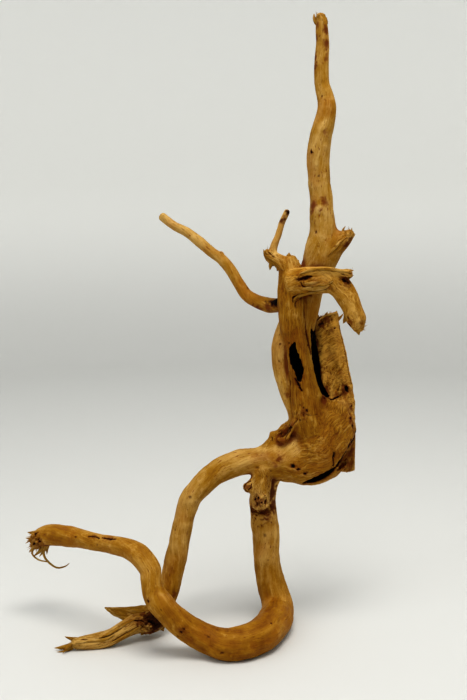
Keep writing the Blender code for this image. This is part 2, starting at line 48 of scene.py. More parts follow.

# %% [markdown]
# A root is a bundle of limbs that grew into each other. Each limb is a centre line in millimetres: x, y, z,
# half width across and half depth. Its places were picked in the photograph and its depth was judged.
# Some rows are just as another program worked them out from those spots, and others were changed or added
# later. The imported solid is swept along the same lines, so the fine surface keeps its form. The leg runs on
# into its foot and the loop into its arm, because their grain runs through too.

# %% Centre lines of the limbs
LIMBS = {
    "upright": [
        (110.5, 46, 516, 3.8, 3.2), (111.5, 46, 507, 5.0, 4.3), (112, 46, 493, 5.5, 4.8),
        (111, 45, 476, 6.1, 5.3), (112, 44, 461, 6.2, 5.4), (115, 42, 450, 7.0, 6.0),
        (116, 40, 440, 7.9, 6.8), (114, 39, 429, 8.6, 7.5), (110.5, 38, 416, 9.2, 8.0),
        (109.5, 37, 399, 9.4, 8.2), (110, 36, 383, 9.2, 8.0), (111.5, 35, 368, 9.5, 8.2),
        (112.5, 34, 353, 10.4, 8.8), (113.5, 33, 340, 11.4, 9.2), (111.5, 32, 327, 12.7, 10.2),
        (109, 31, 315, 13.2, 9.9), (105, 29, 303, 12.0, 9.0), (102, 27, 287, 10.6, 8.5),
        (100, 26, 270, 9.4, 7.6), (98, 25, 253, 8.3, 6.8), (98, 24, 236, 8.6, 7.0),
        (100, 23, 219, 9.5, 7.6), (103, 22, 202, 11.0, 8.4),
    ],
    "front_strand": [
        (84, 22, 315, 7.3, 5.9), (86, 20, 305, 8.9, 7.2), (87, 18, 291, 10.3, 7.8),
        (88, 17, 278, 11.0, 8.3), (89, 17, 262, 10.6, 8.0), (92, 17, 246, 8.1, 7.0),
        (94, 17, 230, 9.0, 7.7), (97, 18, 213, 10.7, 8.6), (100, 19, 195, 13.1, 9.8),
        (104, 21, 178, 16.1, 12.1),
    ],
    "left_lobe": [
        (84, 26, 270, 5.2, 5.2), (81, 26, 256, 7.4, 7.6), (79.2, 26, 243, 8.5, 9.0),
        (79.4, 26, 229, 8.1, 8.6), (82.8, 25, 214, 7.6, 8.2), (87, 24, 200, 6.9, 7.6),
        (91.5, 23, 188, 6.8, 7.4), (94, 22, 175, 7.9, 8.0),
    ],
    "slab": [
        (116.3, 43, 274, 8.8, 5.6), (116.6, 43, 264, 10.4, 6.2), (117, 43, 253, 12.4, 6.8),
        (118, 43, 239, 14.5, 7.4), (120, 41, 224, 15.8, 8.4), (122, 38, 209, 16.6, 9.2),
        (124.5, 35, 194, 16.8, 11.5), (124, 32, 177, 17.6, 14.0),
    ],
    "inner_wall": [
        (101, 47, 276, 3.6, 2.6), (103, 48, 262, 4.8, 3.0), (104.5, 48, 250, 5.4, 3.2),
        (107, 47, 232, 6.0, 3.4),
    ],
    "back_wall": [
        (97, 33, 176, 12.0, 8.0), (95, 37, 200, 12.5, 5.6), (93, 39, 225, 12.3, 5.0),
        (92, 38, 250, 11.0, 5.0), (91, 33, 272, 8.5, 5.2), (90, 27, 290, 7.0, 5.5),
    ],
    "burl": [
        (123, 28, 191, 12.8, 10.5), (121, 27, 179, 19.5, 15.5), (118, 26, 167, 23.0, 18.5),
        (113, 25, 155, 23.6, 19.0), (104, 24, 145, 20.4, 16.5), (95, 23, 141, 16.0, 13.0),
    ],
    "burl_foot": [
        (130, 27, 173, 11.6, 10.5), (124, 26, 159, 15.0, 13.5), (114, 25, 147, 17.6, 16.0),
        (102, 24, 143.5, 16.8, 15.0), (86, 22, 143.5, 15.9, 13.5), (74, 21, 145.5, 14.0, 12.2),
    ],
    "plank": [
        (133.5, 39, 190, 6.8, 5.5), (133.8, 40, 170, 7.8, 5.0), (133.8, 41, 155, 7.9, 4.4),
        (133.6, 41, 135, 7.9, 3.6),
    ],
    "leg": [
        (92, 22, 155, 16.2, 11.4), (78, 21, 148, 15.0, 12.0), (63, 19, 146, 12.5, 11.2),
        (49, 17, 145.5, 11.0, 10.5), (37, 14, 142.8, 10.8, 10.6), (27, 12, 138.6, 10.4, 10.3),
        (18, 10, 132, 9.8, 9.8), (10, 8, 124, 9.5, 9.5), (3, 6, 116, 9.3, 9.3),
        (-0.5, 5, 107, 9.0, 9.0), (-3.5, 4, 96, 8.2, 9.0), (-7, 2, 80, 9.0, 9.8),
        (-9.7, 0, 65, 9.2, 10.0), (-12.7, -4, 51, 8.9, 9.7), (-15.5, -9, 36, 8.8, 9.3),
        (-20.5, -12.5, 24, 9.2, 9.4), (-26, -16.5, 15.5, 10.4, 9.8), (-33, -21.5, 13.8, 10.0, 9.0),
        (-40, -26, 14.0, 8.2, 7.4), (-50, -33, 10.6, 7.2, 6.7), (-59, -39, 7, 6.9, 6.3),
        (-68, -43, 5.2, 6.6, 5.9), (-79, -47, 5.2, 5.6, 5.2), (-86, -50, 5.6, 4.2, 3.8),
    ],
    "collar": [
        (91, 23, 180, 4.0, 4.0), (83, 23, 172, 5.8, 5.8), (75, 22, 164, 5.8, 5.8), (67, 21, 155, 6.2, 6.2),
    ],
    "collar_knob": [(78.5, 22, 161, 4.4, 4.4), (73.2, 20.5, 166.4, 3.9, 3.6),
        (71.8, 20.5, 169.6, 2.8, 2.6)],
    "fold": [
        (97.0, 15.0, 185.5, 1.6, 2.6), (91.2, 14.0, 180.2, 2.3, 3.0), (87.2, 13.2, 173.8, 2.5, 3.0),
        (82.6, 12.4, 166.2, 2.2, 2.8), (78.0, 13.2, 166.6, 1.8, 2.4),
    ],
    "stub": [(64, 15, 139, 7.9, 7.9), (62, 12, 127, 9.1, 9.0), (62, 10, 117, 8.2, 7.9),
        (62.6, 9, 108, 7.4, 7.0)],
    "stub_knob": [(62, 13, 130, 5.3, 5.3), (54.8, 11, 125.8, 5.6, 5.4), (50.6, 10, 124.4, 4.4, 4.2)],
    "loop": [
        (71, 27, 132, 7.6, 7.6), (66, 27, 121, 9.3, 9.3), (62, 27, 108, 11.4, 11.4),
        (63, 27, 94, 11.6, 11.6), (65, 28, 77, 11.8, 11.8), (65, 29, 61, 11.6, 11.6),
        (66, 30, 47, 11.8, 11.8), (69, 30, 33, 12.4, 12.4), (74, 26, 18, 13.6, 13.0),
        (76, 14, 12.2, 14.2, 12.9), (75, -4, 12.4, 14.3, 12.9), (69, -28, 13.6, 13.8, 12.0),
        (57, -43, 12.6, 13.2, 11.6), (42, -49, 11.4, 12.7, 11.4), (27, -47, 13.4, 11.9, 11.1),
        (13, -48, 20.4, 11.0, 10.6), (0, -50, 30.6, 10.2, 10.2), (-10.5, -52, 42.6, 10.1, 10.1),
        (-18.3, -48, 51, 9.4, 9.2), (-21.3, -45, 61, 8.6, 8.5), (-23.2, -41, 69, 8.8, 8.8),
        (-32, -36, 77, 9.0, 9.0), (-45, -29, 81, 8.2, 8.2), (-61, -21, 80.8, 7.4, 7.4),
        (-78, -13, 79.5, 7.4, 7.3), (-94, -5, 79, 8.4, 8.4), (-110, 2, 78.3, 9.3, 9.4),
        (-126, 8, 76.6, 9.3, 9.4), (-134, 10.5, 73, 8.6, 8.4),
        (-138.5, 11, 69, 7.4, 7.2),
    ],
    "heel": [(71, 24, 18, 7.0, 7.0), (74, 31, 9.2, 9.5, 9.8), (77, 20, 11, 9.0, 9.6)],
    "left_branch": [
        (78, 29, 279, 6.1, 6.1), (68, 35, 278.3, 6.4, 6.4), (57, 38, 281.5, 5.8, 5.8),
        (47.5, 41, 287, 5.4, 5.4), (40.7, 43, 296.6, 5.0, 5.0), (33.8, 45, 307.6, 5.0, 5.0),
        (25.7, 47, 317, 4.6, 4.6), (15.7, 49, 324, 4.5, 4.5), (4.7, 51, 333, 4.6, 4.6),
        (-6.4, 54, 341, 4.3, 4.3), (-18.5, 57, 347, 3.9, 3.9), (-29, 60, 354.6, 3.8, 3.8),
    ],
    "branch_nub": [(27, 47, 314, 3.2, 3.2), (25, 46, 322, 2.2, 2.2)],
    "twig": [
        (71.6, 24, 318, 3.8, 3.8), (72.6, 25, 327, 3.1, 3.1), (76.6, 27, 338, 2.6, 2.6),
        (79.6, 29, 348, 2.5, 2.5), (83.6, 31, 357, 2.5, 2.5),
    ],
    "top_block": [
        (88.3, 22, 309.5, 6.2, 6.2), (81.7, 22, 313.8, 6.2, 6.2), (75.9, 22, 317.4, 5.4, 5.2),
        (71.2, 22, 320.6, 4.0, 3.8), (67.2, 21, 324.6, 2.0, 1.8),
    ],
    "block_hump": [(90.5, 22, 311.0, 5.8, 5.4), (88.2, 22, 318.0, 3.9, 3.9)],
    "curled_arm": [
        (90, 15, 298.6, 10.5, 8.8), (101, 12, 300.6, 11.3, 8.6), (112, 10, 300.8, 10.5, 8.4),
        (122, 8, 300.2, 10.3, 8.2), (129.6, 7, 294.5, 9.8, 7.9), (135.2, 5.5, 285.6, 9.0, 7.5),
        (138.9, 4, 277, 8.0, 7.0), (141.8, 3, 269, 7.8, 6.4), (143.8, 3, 262.5, 4.6, 4.2),
    ],
    "arm_ridge": [
        (97, 6, 304.6, 2.6, 3.0), (107.4, 4.5, 308.2, 3.4, 3.2), (118.8, 3.6, 308.6, 3.4, 3.2),
        (128.4, 2.0, 307.2, 3.0, 3.2), (136.0, 1.0, 306.5, 2.8, 2.6),
    ],
    "right_stub": [
        (113, 32, 316.5, 10.4, 8.4), (121, 32, 324.6, 8.9, 7.2), (127.6, 32, 330.8, 7.4, 6.2),
        (132.6, 32, 335.4, 6.0, 5.0), (136.4, 32, 338.4, 4.0, 3.6),
    ],
}
print("limbs:", len(LIMBS))

# %% [markdown]
# Each limb turns into a rounded curve with a frame at every section: along the grain, across, and deep. What
# stands is as wide as given when seen level, and what lies on the floor when seen from a little above.

# %% Rounded curves and their section frames
STEPS_PER_SPAN = 6
LYING_HEIGHT = 30.0  # below this centre height a limb counts more and more as lying


def unit(rows):
    return rows / np.maximum(np.linalg.norm(rows, axis=-1, keepdims=True), 1e-9)


def smooth_rows(points, steps=STEPS_PER_SPAN):
    """Rows along a rounded curve through the given rows."""
    rows = np.array(points, float)
    padded = np.vstack([rows[:1], rows, rows[-1:]])
    t = (np.arange(steps) / steps)[None, :, None]
    a, b, c, d = (padded[k : k + len(rows) - 1, None, :] for k in range(4))
    spans = 0.5 * (2 * b + (c - a) * t + (2 * a - 5 * b + 4 * c - d) * t**2 + (3 * b - a - 3 * c + d) * t**3)
    return np.vstack([spans.reshape(-1, rows.shape[1]), rows[-1:]])


class Limb:
    """A centre line in millimetres, with half widths, section frames and length along the grain."""

    def __init__(self, points, steps=STEPS_PER_SPAN):
        rows = smooth_rows(points, steps)
        self.centre = rows[:, :3] - MIDDLE
        self.wide = rows[:, 3]
        self.deep_by = rows[:, 4]
        self.along = unit(np.gradient(self.centre, axis=0))
        low = np.clip((LYING_HEIGHT - self.centre[:, 2:3]) / (LYING_HEIGHT * 0.5), 0.0, 1.0)
        sight = unit(np.array([0.0, 1.0, 0.0]) * (1 - low) + np.array([0.0, 0.9, -0.43]) * low)
        across = unit(np.cross(self.along, sight))
        for i in range(1, len(across)):
            if across[i] @ across[i - 1] < 0:
                across[i] = -across[i]
        self.across = across
        self.deep = np.cross(across, self.along)
        steps_long = np.linalg.norm(np.diff(self.centre, axis=0), axis=1)
        self.length = np.concatenate([[0.0], np.cumsum(steps_long)])


CAP = 0.79  # how far a rounded end stands out, as a share of the half width


def nearest_on(limb, points, first=0, last=None):
    """For each point the nearest place on the centre line: segment number and share along it."""
    last = len(limb.centre) - 1 if last is None else last
    a = limb.centre[first:last]
    span = limb.centre[first + 1 : last + 1] - a
    squared = np.maximum((span**2).sum(1), 1e-9)
    best = np.full(len(points), np.inf)
    number = np.zeros(len(points), int)
    share = np.zeros(len(points))
    for k in range(len(a)):
        away = points - a[k]
        t = np.clip(away @ span[k] / squared[k], 0.0, 1.0)
        gap = ((away - t[:, None] * span[k]) ** 2).sum(1)
        nearer = gap < best
        best[nearer] = gap[nearer]
        number[nearer] = k + first
        share[nearer] = t[nearer]
    return number, share


def limb_place(limb, points, first=0, last=None):
    """Depth under or over the limb's skin, length along it, and the offsets across and deep."""
    i, t = nearest_on(limb, points, first, last)
    t = t[:, None]

    def mixed(rows):
        return rows[i] * (1 - t) + rows[i + 1] * t

    away = points - mixed(limb.centre)
    along, across, deep = unit(mixed(limb.along)), unit(mixed(limb.across)), unit(mixed(limb.deep))
    w, h = mixed(limb.wide[:, None])[:, 0], mixed(limb.deep_by[:, None])[:, 0]
    a, b, e = (away * across).sum(1), (away * deep).sum(1), (away * along).sum(1)
    cap = np.minimum(w, h) * CAP
    rho = np.sqrt((a / w) ** 2 + (b / h) ** 2 + (e / cap) ** 2)
    slope = np.sqrt((a / w**2) ** 2 + (b / h**2) ** 2 + (e / cap**2) ** 2)
    depth = (rho - 1.0) * rho / np.maximum(slope, 1e-6)
    s = mixed(limb.length[:, None])[:, 0] + e
    return depth, s, a, b


TREE = {name: Limb(points) for name, points in LIMBS.items()}
print("grain length of the loop, mm:", round(TREE["loop"].length[-1]))

# %% [markdown]
# The real root has no seams between its limbs. So the limbs are not joined as meshes. Every point of a fine
# grid gets its distance to the nearest limb, soft minima make the webs where limbs meet, and the hollows are
# taken away. The surface is then laid where that distance is zero.

# %% Fill a grid with the distance to the wood
GRID = 1.6  # millimetres between grid points
MARGIN = 5.0
WEB = {  # how softly a limb runs into those before it, in millimetres
    "upright": 2.0, "front_strand": 2.0, "left_lobe": 1.6, "slab": 1.6, "back_wall": 2.0, "burl": 5.0,
    "burl_foot": 5.0, "plank": 1.4, "leg": 5.0, "collar": 2.6, "collar_knob": 2.4, "fold": 2.6,
    "inner_wall": 1.6, "stub": 3.0, "stub_knob": 2.5, "loop": 4.0, "heel": 3.0,
    "left_branch": 3.0, "branch_nub": 1.6, "twig": 2.0, "top_block": 2.4, "block_hump": 2.0,
    "curled_arm": 3.0, "arm_ridge": 1.2, "right_stub": 8.0,
}
HOLLOWS = {
    "trunk_hole": [
        (91, 17, 249, 1.2, 13), (90, 17, 243, 3.4, 15), (92, 17, 234, 4.5, 16), (95, 17, 226, 4.0, 15),
        (95, 17, 218, 1.2, 13),
    ],
    "burl_crack": [
        (98, 14, 129, 0.8, 6), (106, 13, 132, 1.9, 8), (113, 13, 135.4, 2.6, 9), (119, 13.5, 139, 2.3, 9),
        (124, 14, 143, 1.3, 9), (132, 16, 153, 1.1, 9), (138, 18, 163, 1.1, 9), (144, 19, 172, 1.0, 9),
    ],
    "burl_under": [
        (127.5, 15, 141, 1.2, 9), (133, 16, 146.5, 3.6, 14), (139, 18, 156, 4.4, 15),
        (145, 20, 167, 3.2, 12),
    ],
    "slab_scoop": [
        (116.5, 30.5, 263, 5.5, 6.6), (118, 29, 251, 8.6, 8.8), (119.5, 28, 238, 10.4, 9.2),
        (121.5, 26, 224, 11.4, 9.8), (124, 24, 211, 11.4, 9.8), (125, 23, 204, 9.0, 8.0),
    ],
    "slab_top": [(102, 43, 270.4, 5, 12), (116, 43, 274.6, 5, 12), (132, 43, 279.8, 5, 12)],
    "stub_end": [(50, 9, 102.8, 5, 14), (62, 9, 103.2, 5, 14), (76, 9, 104.6, 5, 14)],
    "torn_mouth": [(-31, -31, 21, 1.4, 4), (-25, -31, 17, 2.2, 6), (-19, -30, 13.5, 2.2, 6),
        (-13, -28, 11, 1.2, 4)],
    "arm_pit": [(129.0, -2, 302.2, 0.8, 3.4), (132, -2, 301.2, 1.5, 4.6), (136.0, -2, 299.6, 0.8, 3.4)],
    "arm_root_pit": [(93.5, 2, 301.6, 0.6, 3.6), (98, 2, 302.6, 0.9, 4.0), (102.8, 2, 304, 1.5, 4.6),
        (106, 2, 304.4, 0.7, 3.6)],
    "crevice": [
        (104.0, 29, 266.0, 0.8, 8.0), (104.4, 30, 256.0, 1.8, 10.0), (105.4, 31, 244.0, 2.3, 11.0),
        (107.4, 31, 230.0, 2.6, 11.5), (110.0, 30, 216.0, 2.6, 11.0), (113.2, 29, 206.0, 2.2, 9.0),
        (117.8, 28, 201.5, 1.3, 6.0),
    ],
    "fold_pocket": [(88.0, 8, 177.5, 0.9, 6), (84.0, 8, 172.0, 2.0, 6.5), (80.4, 9, 169.5, 1.0, 5)],
    "knot_hole": [(133.2, 26, 208.8, 1.5, 3.0), (133.6, 30, 208.2, 1.9, 4.5)],
}
# These only shape the wood and get no painted shade inside.
SHAPING = ("slab_scoop", "slab_top", "stub_end", "burl_under")
HOLES = {name: Limb(HOLLOWS[name], 4) for name in (*SHAPING, *(n for n in HOLLOWS if n not in SHAPING))}
RAGGED_EDGE = 0.7  # how far the rim of a hollow wanders, in millimetres


def soft_min(a, b, k):
    h = np.maximum(k - np.abs(a - b), 0.0) / k
    return np.minimum(a, b) - h * h * k * 0.25


def soft_cut(a, hole, k):
    return -soft_min(-a, hole, k)


def lattice_noise(points, seed):
    """Smooth noise, about -1 to 1, with one wave to each unit of the given places."""
    cell = np.floor(points).astype(np.int64)
    t = points - cell
    fade = t * t * t * (t * (t * 6 - 15) + 10)
    total = np.zeros(len(points))
    for i in (0, 1):
        for j in (0, 1):
            for k in (0, 1):
                c = cell + (i, j, k)
                h = (c[:, 0] * 73856093) ^ (c[:, 1] * 19349663) ^ (c[:, 2] * 83492791) ^ (seed * 2654435761)
                h = (h ^ (h >> 13)) * 1274126177 & 0xFFFFFFFF
                h = h ^ (h >> 16)
                slopes = [((h >> shift) & 1023) / 511.5 - 1.0 for shift in (0, 10, 20)]
                value = slopes[0] * (t[:, 0] - i) + slopes[1] * (t[:, 1] - j) + slopes[2] * (t[:, 2] - k)
                weight = np.abs(1 - i - fade[:, 0]) * np.abs(1 - j - fade[:, 1]) * np.abs(1 - k - fade[:, 2])
                total += value * weight
    return total * 1.6


def hollow_depth(hole, points, first=0, last=None):
    """Depth inside or outside a hollow, with a ragged rim."""
    rough = lattice_noise(points / 4.5, 11) + 0.6 * lattice_noise(points / 2.0, 12)
    return limb_place(hole, points, first, last)[0] + RAGGED_EDGE * rough


low_corner = np.min([(limb.centre - limb.wide[:, None]).min(0) for limb in TREE.values()], axis=0)
low_corner = low_corner - MARGIN * 1.5
high_corner = np.max([(limb.centre + limb.wide[:, None]).max(0) for limb in TREE.values()], axis=0)
high_corner = high_corner + MARGIN * 1.5
shape = np.ceil((high_corner - low_corner) / GRID).astype(int) + 1
FAR = 20.0
field = np.full(tuple(shape), FAR, np.float32)


def limb_depth(limb, points, first=0, last=None):
    return limb_place(limb, points, first, last)[0]


def limb_block(limb, margin, depth_of):
    """Grid block round a limb, with the limb's depth at its points and FAR elsewhere."""
    reach = np.maximum(limb.wide, limb.deep_by)[:, None] + margin
    low = np.maximum(((limb.centre - reach).min(0) - low_corner) // GRID, 0).astype(int)
    high = np.minimum(np.ceil(((limb.centre + reach).max(0) - low_corner) / GRID).astype(int) + 1, shape)
    block = np.full(tuple(high - low), FAR, np.float32)
    count = len(limb.centre) - 1
    for first in range(0, count, STEPS_PER_SPAN):
        last = min(first + STEPS_PER_SPAN, count)
        rows = slice(first, last + 1)
        near_low = ((limb.centre[rows] - reach[rows]).min(0) - low_corner) // GRID
        near_low = np.maximum(near_low, low).astype(int)
        near_high = np.ceil(((limb.centre[rows] + reach[rows]).max(0) - low_corner) / GRID).astype(int) + 1
        near_high = np.minimum(near_high, high)
        axes = [np.arange(near_low[k], near_high[k]) * GRID + low_corner[k] for k in range(3)]
        points = np.stack(np.meshgrid(*axes, indexing="ij"), -1).reshape(-1, 3)
        depth = depth_of(limb, points, max(first - 2, 0), min(last + 2, count))
        view = block[tuple(slice(near_low[k] - low[k], near_high[k] - low[k]) for k in range(3))]
        np.minimum(view, depth.reshape(view.shape), out=view)
    return tuple(slice(low[k], high[k]) for k in range(3)), block


for name, limb in TREE.items():
    place, block = limb_block(limb, MARGIN, limb_depth)
    field[place] = soft_min(field[place], block, WEB[name])
for name, hole in HOLES.items():
    place, block = limb_block(hole, MARGIN, hollow_depth)
    field[place] = soft_cut(field[place], block, 0.8)
heights = low_corner[2] + np.arange(shape[2]) * GRID
field = np.maximum(field, -heights.astype(np.float32)[None, None, :])
print("grid points:", field.size, "in wood:", int((field < 0).sum()))

# %% [markdown]
# Surface nets lay the skin: every grid cell that the surface passes through gets one point, at the middle of
# its crossings, and every grid edge that crosses the surface gets one four-sided face. The mesh comes out
# closed and even, which suits a surface that is carved afterwards.

# %% Lay the skin over the grid
def surface_net(values, origin, step):
    """Points in millimetres and four-sided faces, normals outwards, where the values pass zero."""
    inside = values < 0
    corner_places = [(i, j, k) for i in (0, 1) for j in (0, 1) for k in (0, 1)]
    n = np.array(values.shape)

    def shifted(array, place):
        return array[tuple(slice(place[a], n[a] - 1 + place[a]) for a in range(3))]

    filled = sum(shifted(inside, place).astype(np.uint8) for place in corner_places)
    crossed = (filled > 0) & (filled < 8)
    cells = np.argwhere(crossed)
    number = np.full(crossed.shape, -1, np.int32)
    number[crossed] = np.arange(len(cells))
    total = np.zeros((len(cells), 3))
    count = np.zeros(len(cells))
    for start in corner_places:
        for axis in range(3):
            if start[axis]:
                continue
            end = tuple(start[a] + (a == axis) for a in range(3))
            v0 = values[tuple((cells + start).T)]
            v1 = values[tuple((cells + end).T)]
            hit = (v0 < 0) != (v1 < 0)
            t = np.where(hit, v0 / np.where(hit, v0 - v1, 1.0), 0.0)
            place = np.array(start, float)[None, :].repeat(len(cells), 0)
            place[:, axis] = t
            total += place * hit[:, None]
            count += hit
    points = origin + (cells + total / count[:, None]) * step
    faces = []
    for axis in range(3):
        u, v = [(1, 2), (2, 0), (0, 1)][axis]
        lower = [slice(1, n[a] - 1) for a in range(3)]
        lower[axis] = slice(0, n[axis] - 1)
        upper = list(lower)
        upper[axis] = slice(1, n[axis])
        a_in, b_in = inside[tuple(lower)], inside[tuple(upper)]
        change = a_in != b_in
        edges = np.argwhere(change)
        outward = a_in[change]
        offset = np.ones(3, int)
        offset[axis] = 0
        edges = edges + offset
        du, dv = np.eye(3, dtype=int)[u], np.eye(3, dtype=int)[v]
        quad = np.stack([number[tuple((edges - x).T)] for x in (du * 0, du, du + dv, dv)], 1)
        quad[~outward] = quad[~outward][:, ::-1]
        faces.append(quad)
    return points, np.vstack(faces)


def largest_piece(points, faces):
    """Leaves out any crumb that the hollows cut loose."""
    label = np.arange(len(points))
    while True:
        lowest = label.copy()
        np.minimum.at(lowest, faces.ravel(), np.repeat(label[faces].min(1), faces.shape[1]))
        lowest = lowest[lowest]
        if (lowest == label).all():
            break
        label = lowest
    kept = label == np.bincount(label).argmax()
    renumbered = np.cumsum(kept) - 1
    return points[kept], renumbered[faces[kept[faces[:, 0]]]]


skin_points, skin_faces = largest_piece(*surface_net(field, low_corner, GRID))
print("skin: points", len(skin_points), "faces", len(skin_faces))

# %% [markdown]
# The surface is now carved. The places where rot, cracks, stains, knots and painted shade mark the wood were
# picked in the photograph. Most rows below were worked out in millimetres from those spots by another
# program, so they are no pattern for how to place such marks. Near them the mesh is made finer, so that a
# crack a millimetre wide keeps a clean edge.

# %% Pits, stains and painted shade, cracks, knots and crumpled places
PIT_STRETCH = 1.5  # pits are longer with the grain
# The dark of a pit is partly the wood's own and partly painted shade in its depth.
PITS = [  # x, y, z, radius, depth, how dark
    (103.9, 30.9, 405.4, 0.9, 0.6, 0.9), (108.0, 24.8, 339.9, 0.8, 0.4, 0.6),
    (110.2, 28.2, 385.7, 0.6, 0.3, 0.5), (112.2, 36.7, 450.9, 0.6, 0.3, 0.5),
    (101.5, 6.2, 303.3, 1.2, 1.4, 0.9), (95.2, 5.6, 301.9, 1.0, 0.8, 0.7),
    (132.0, 2.0, 301.4, 1.3, 1.4, 0.9), (134.6, 2.0, 299.8, 1.0, 1.0, 0.8),
    (136.3, 0.6, 265.2, 1.1, 1.0, 0.9),
    (135.1, -1.3, 271.1, 0.6, 0.6, 0.7), (78.6, 17.4, 247.2, 0.6, 0.5, 0.7),
    (77.7, 17.5, 232.8, 0.5, 0.3, 0.5), (101.9, 18.7, 246.4, 0.6, 0.5, 0.8),
    (98.7, 9.3, 194.6, 0.6, 0.5, 0.8), (101.6, 9.3, 192.6, 0.7, 0.6, 0.9),
    (95.8, 9.7, 197.0, 0.4, 0.3, 0.6), (95.8, 10.2, 184.2, 0.6, 0.4, 0.6),
    (90.0, 8.2, 145.0, 1.3, 0.9, 0.95), (94.6, 8.1, 142.2, 1.0, 0.7, 0.9),
    (100.1, 8.2, 138.4, 1.0, 0.7, 0.9), (138.7, 28.1, 193.3, 0.7, 0.7, 0.9),
    (137.6, 21.7, 184.3, 1.0, 0.8, 0.8), (139.3, 20.9, 177.6, 1.0, 0.8, 0.9),
    (138.1, 17.0, 166.4, 0.6, 0.6, 0.8), (133.9, 31.4, 208.2, 1.4, 1.6, 1.0),
    (5.5, -59.4, 25.1, 0.9, 0.8, 0.8), (7.9, -58.9, 27.6, 0.6, 0.5, 0.7),
    (2.6, -57.6, 20.8, 0.6, 0.4, 0.6), (-21.3, -57.4, 48.4, 0.9, 0.7, 0.8),
    (27.4, -55.7, 20.4, 0.6, 0.4, 0.6), (38.5, -60.6, 10.0, 0.6, 0.4, 0.7),
    (74.8, -31.9, 23.3, 0.6, 0.4, 0.8), (-9.8, -61.9, 43.9, 0.4, 0.3, 0.5),
    (65.2, 16.0, 81.0, 1.0, 0.4, 0.4), (67.5, 17.9, 57.9, 0.5, 0.3, 0.4),
    (58.4, 3.1, 116.6, 0.5, 0.8, 0.9), (61.6, 2.3, 118.2, 0.65, 1.0, 0.9),
    (60.0, 2.6, 119.6, 0.3, 0.6, 0.8),
    (66.4, 3.3, 120.4, 0.4, 0.7, 0.7), (64.0, 2.4, 114.7, 0.55, 1.0, 0.9),
    (63.6, 2.4, 117.0, 0.3, 0.6, 0.7),
    (60.4, 2.4, 112.4, 0.4, 0.9, 0.9), (67.4, 4.2, 116.0, 0.45, 0.8, 0.8),
    (61.8, 2.2, 115.4, 0.3, 0.6, 0.8),
    (66.2, 3.4, 111.4, 0.5, 0.8, 0.8), (57.4, 3.6, 112.6, 0.35, 0.6, 0.7),
    (63.0, 2.3, 110.8, 0.3, 0.6, 0.7),
    (59.6, 7.6, 142.6, 1.1, 0.4, 0.35), (3.6, -2.9, 118.7, 0.8, 0.4, 0.5),
    (-9.5, -4.8, 89.9, 0.6, 0.3, 0.4), (25.2, 44.6, 322.8, 0.6, 0.4, 0.6),
    (49.1, 40.2, 292.8, 0.7, 0.4, 0.6), (-136.7, 4.0, 78.2, 1.1, 1.2, 0.9),
    (-132.1, 0.9, 73.1, 1.0, 1.2, 0.9), (-138.0, 4.0, 69.9, 1.0, 1.2, 0.9),
    (-94.5, -12.6, 83.1, 0.6, 0.4, 0.6), (-72.7, -23.4, 80.8, 0.5, 0.3, 0.4),
]
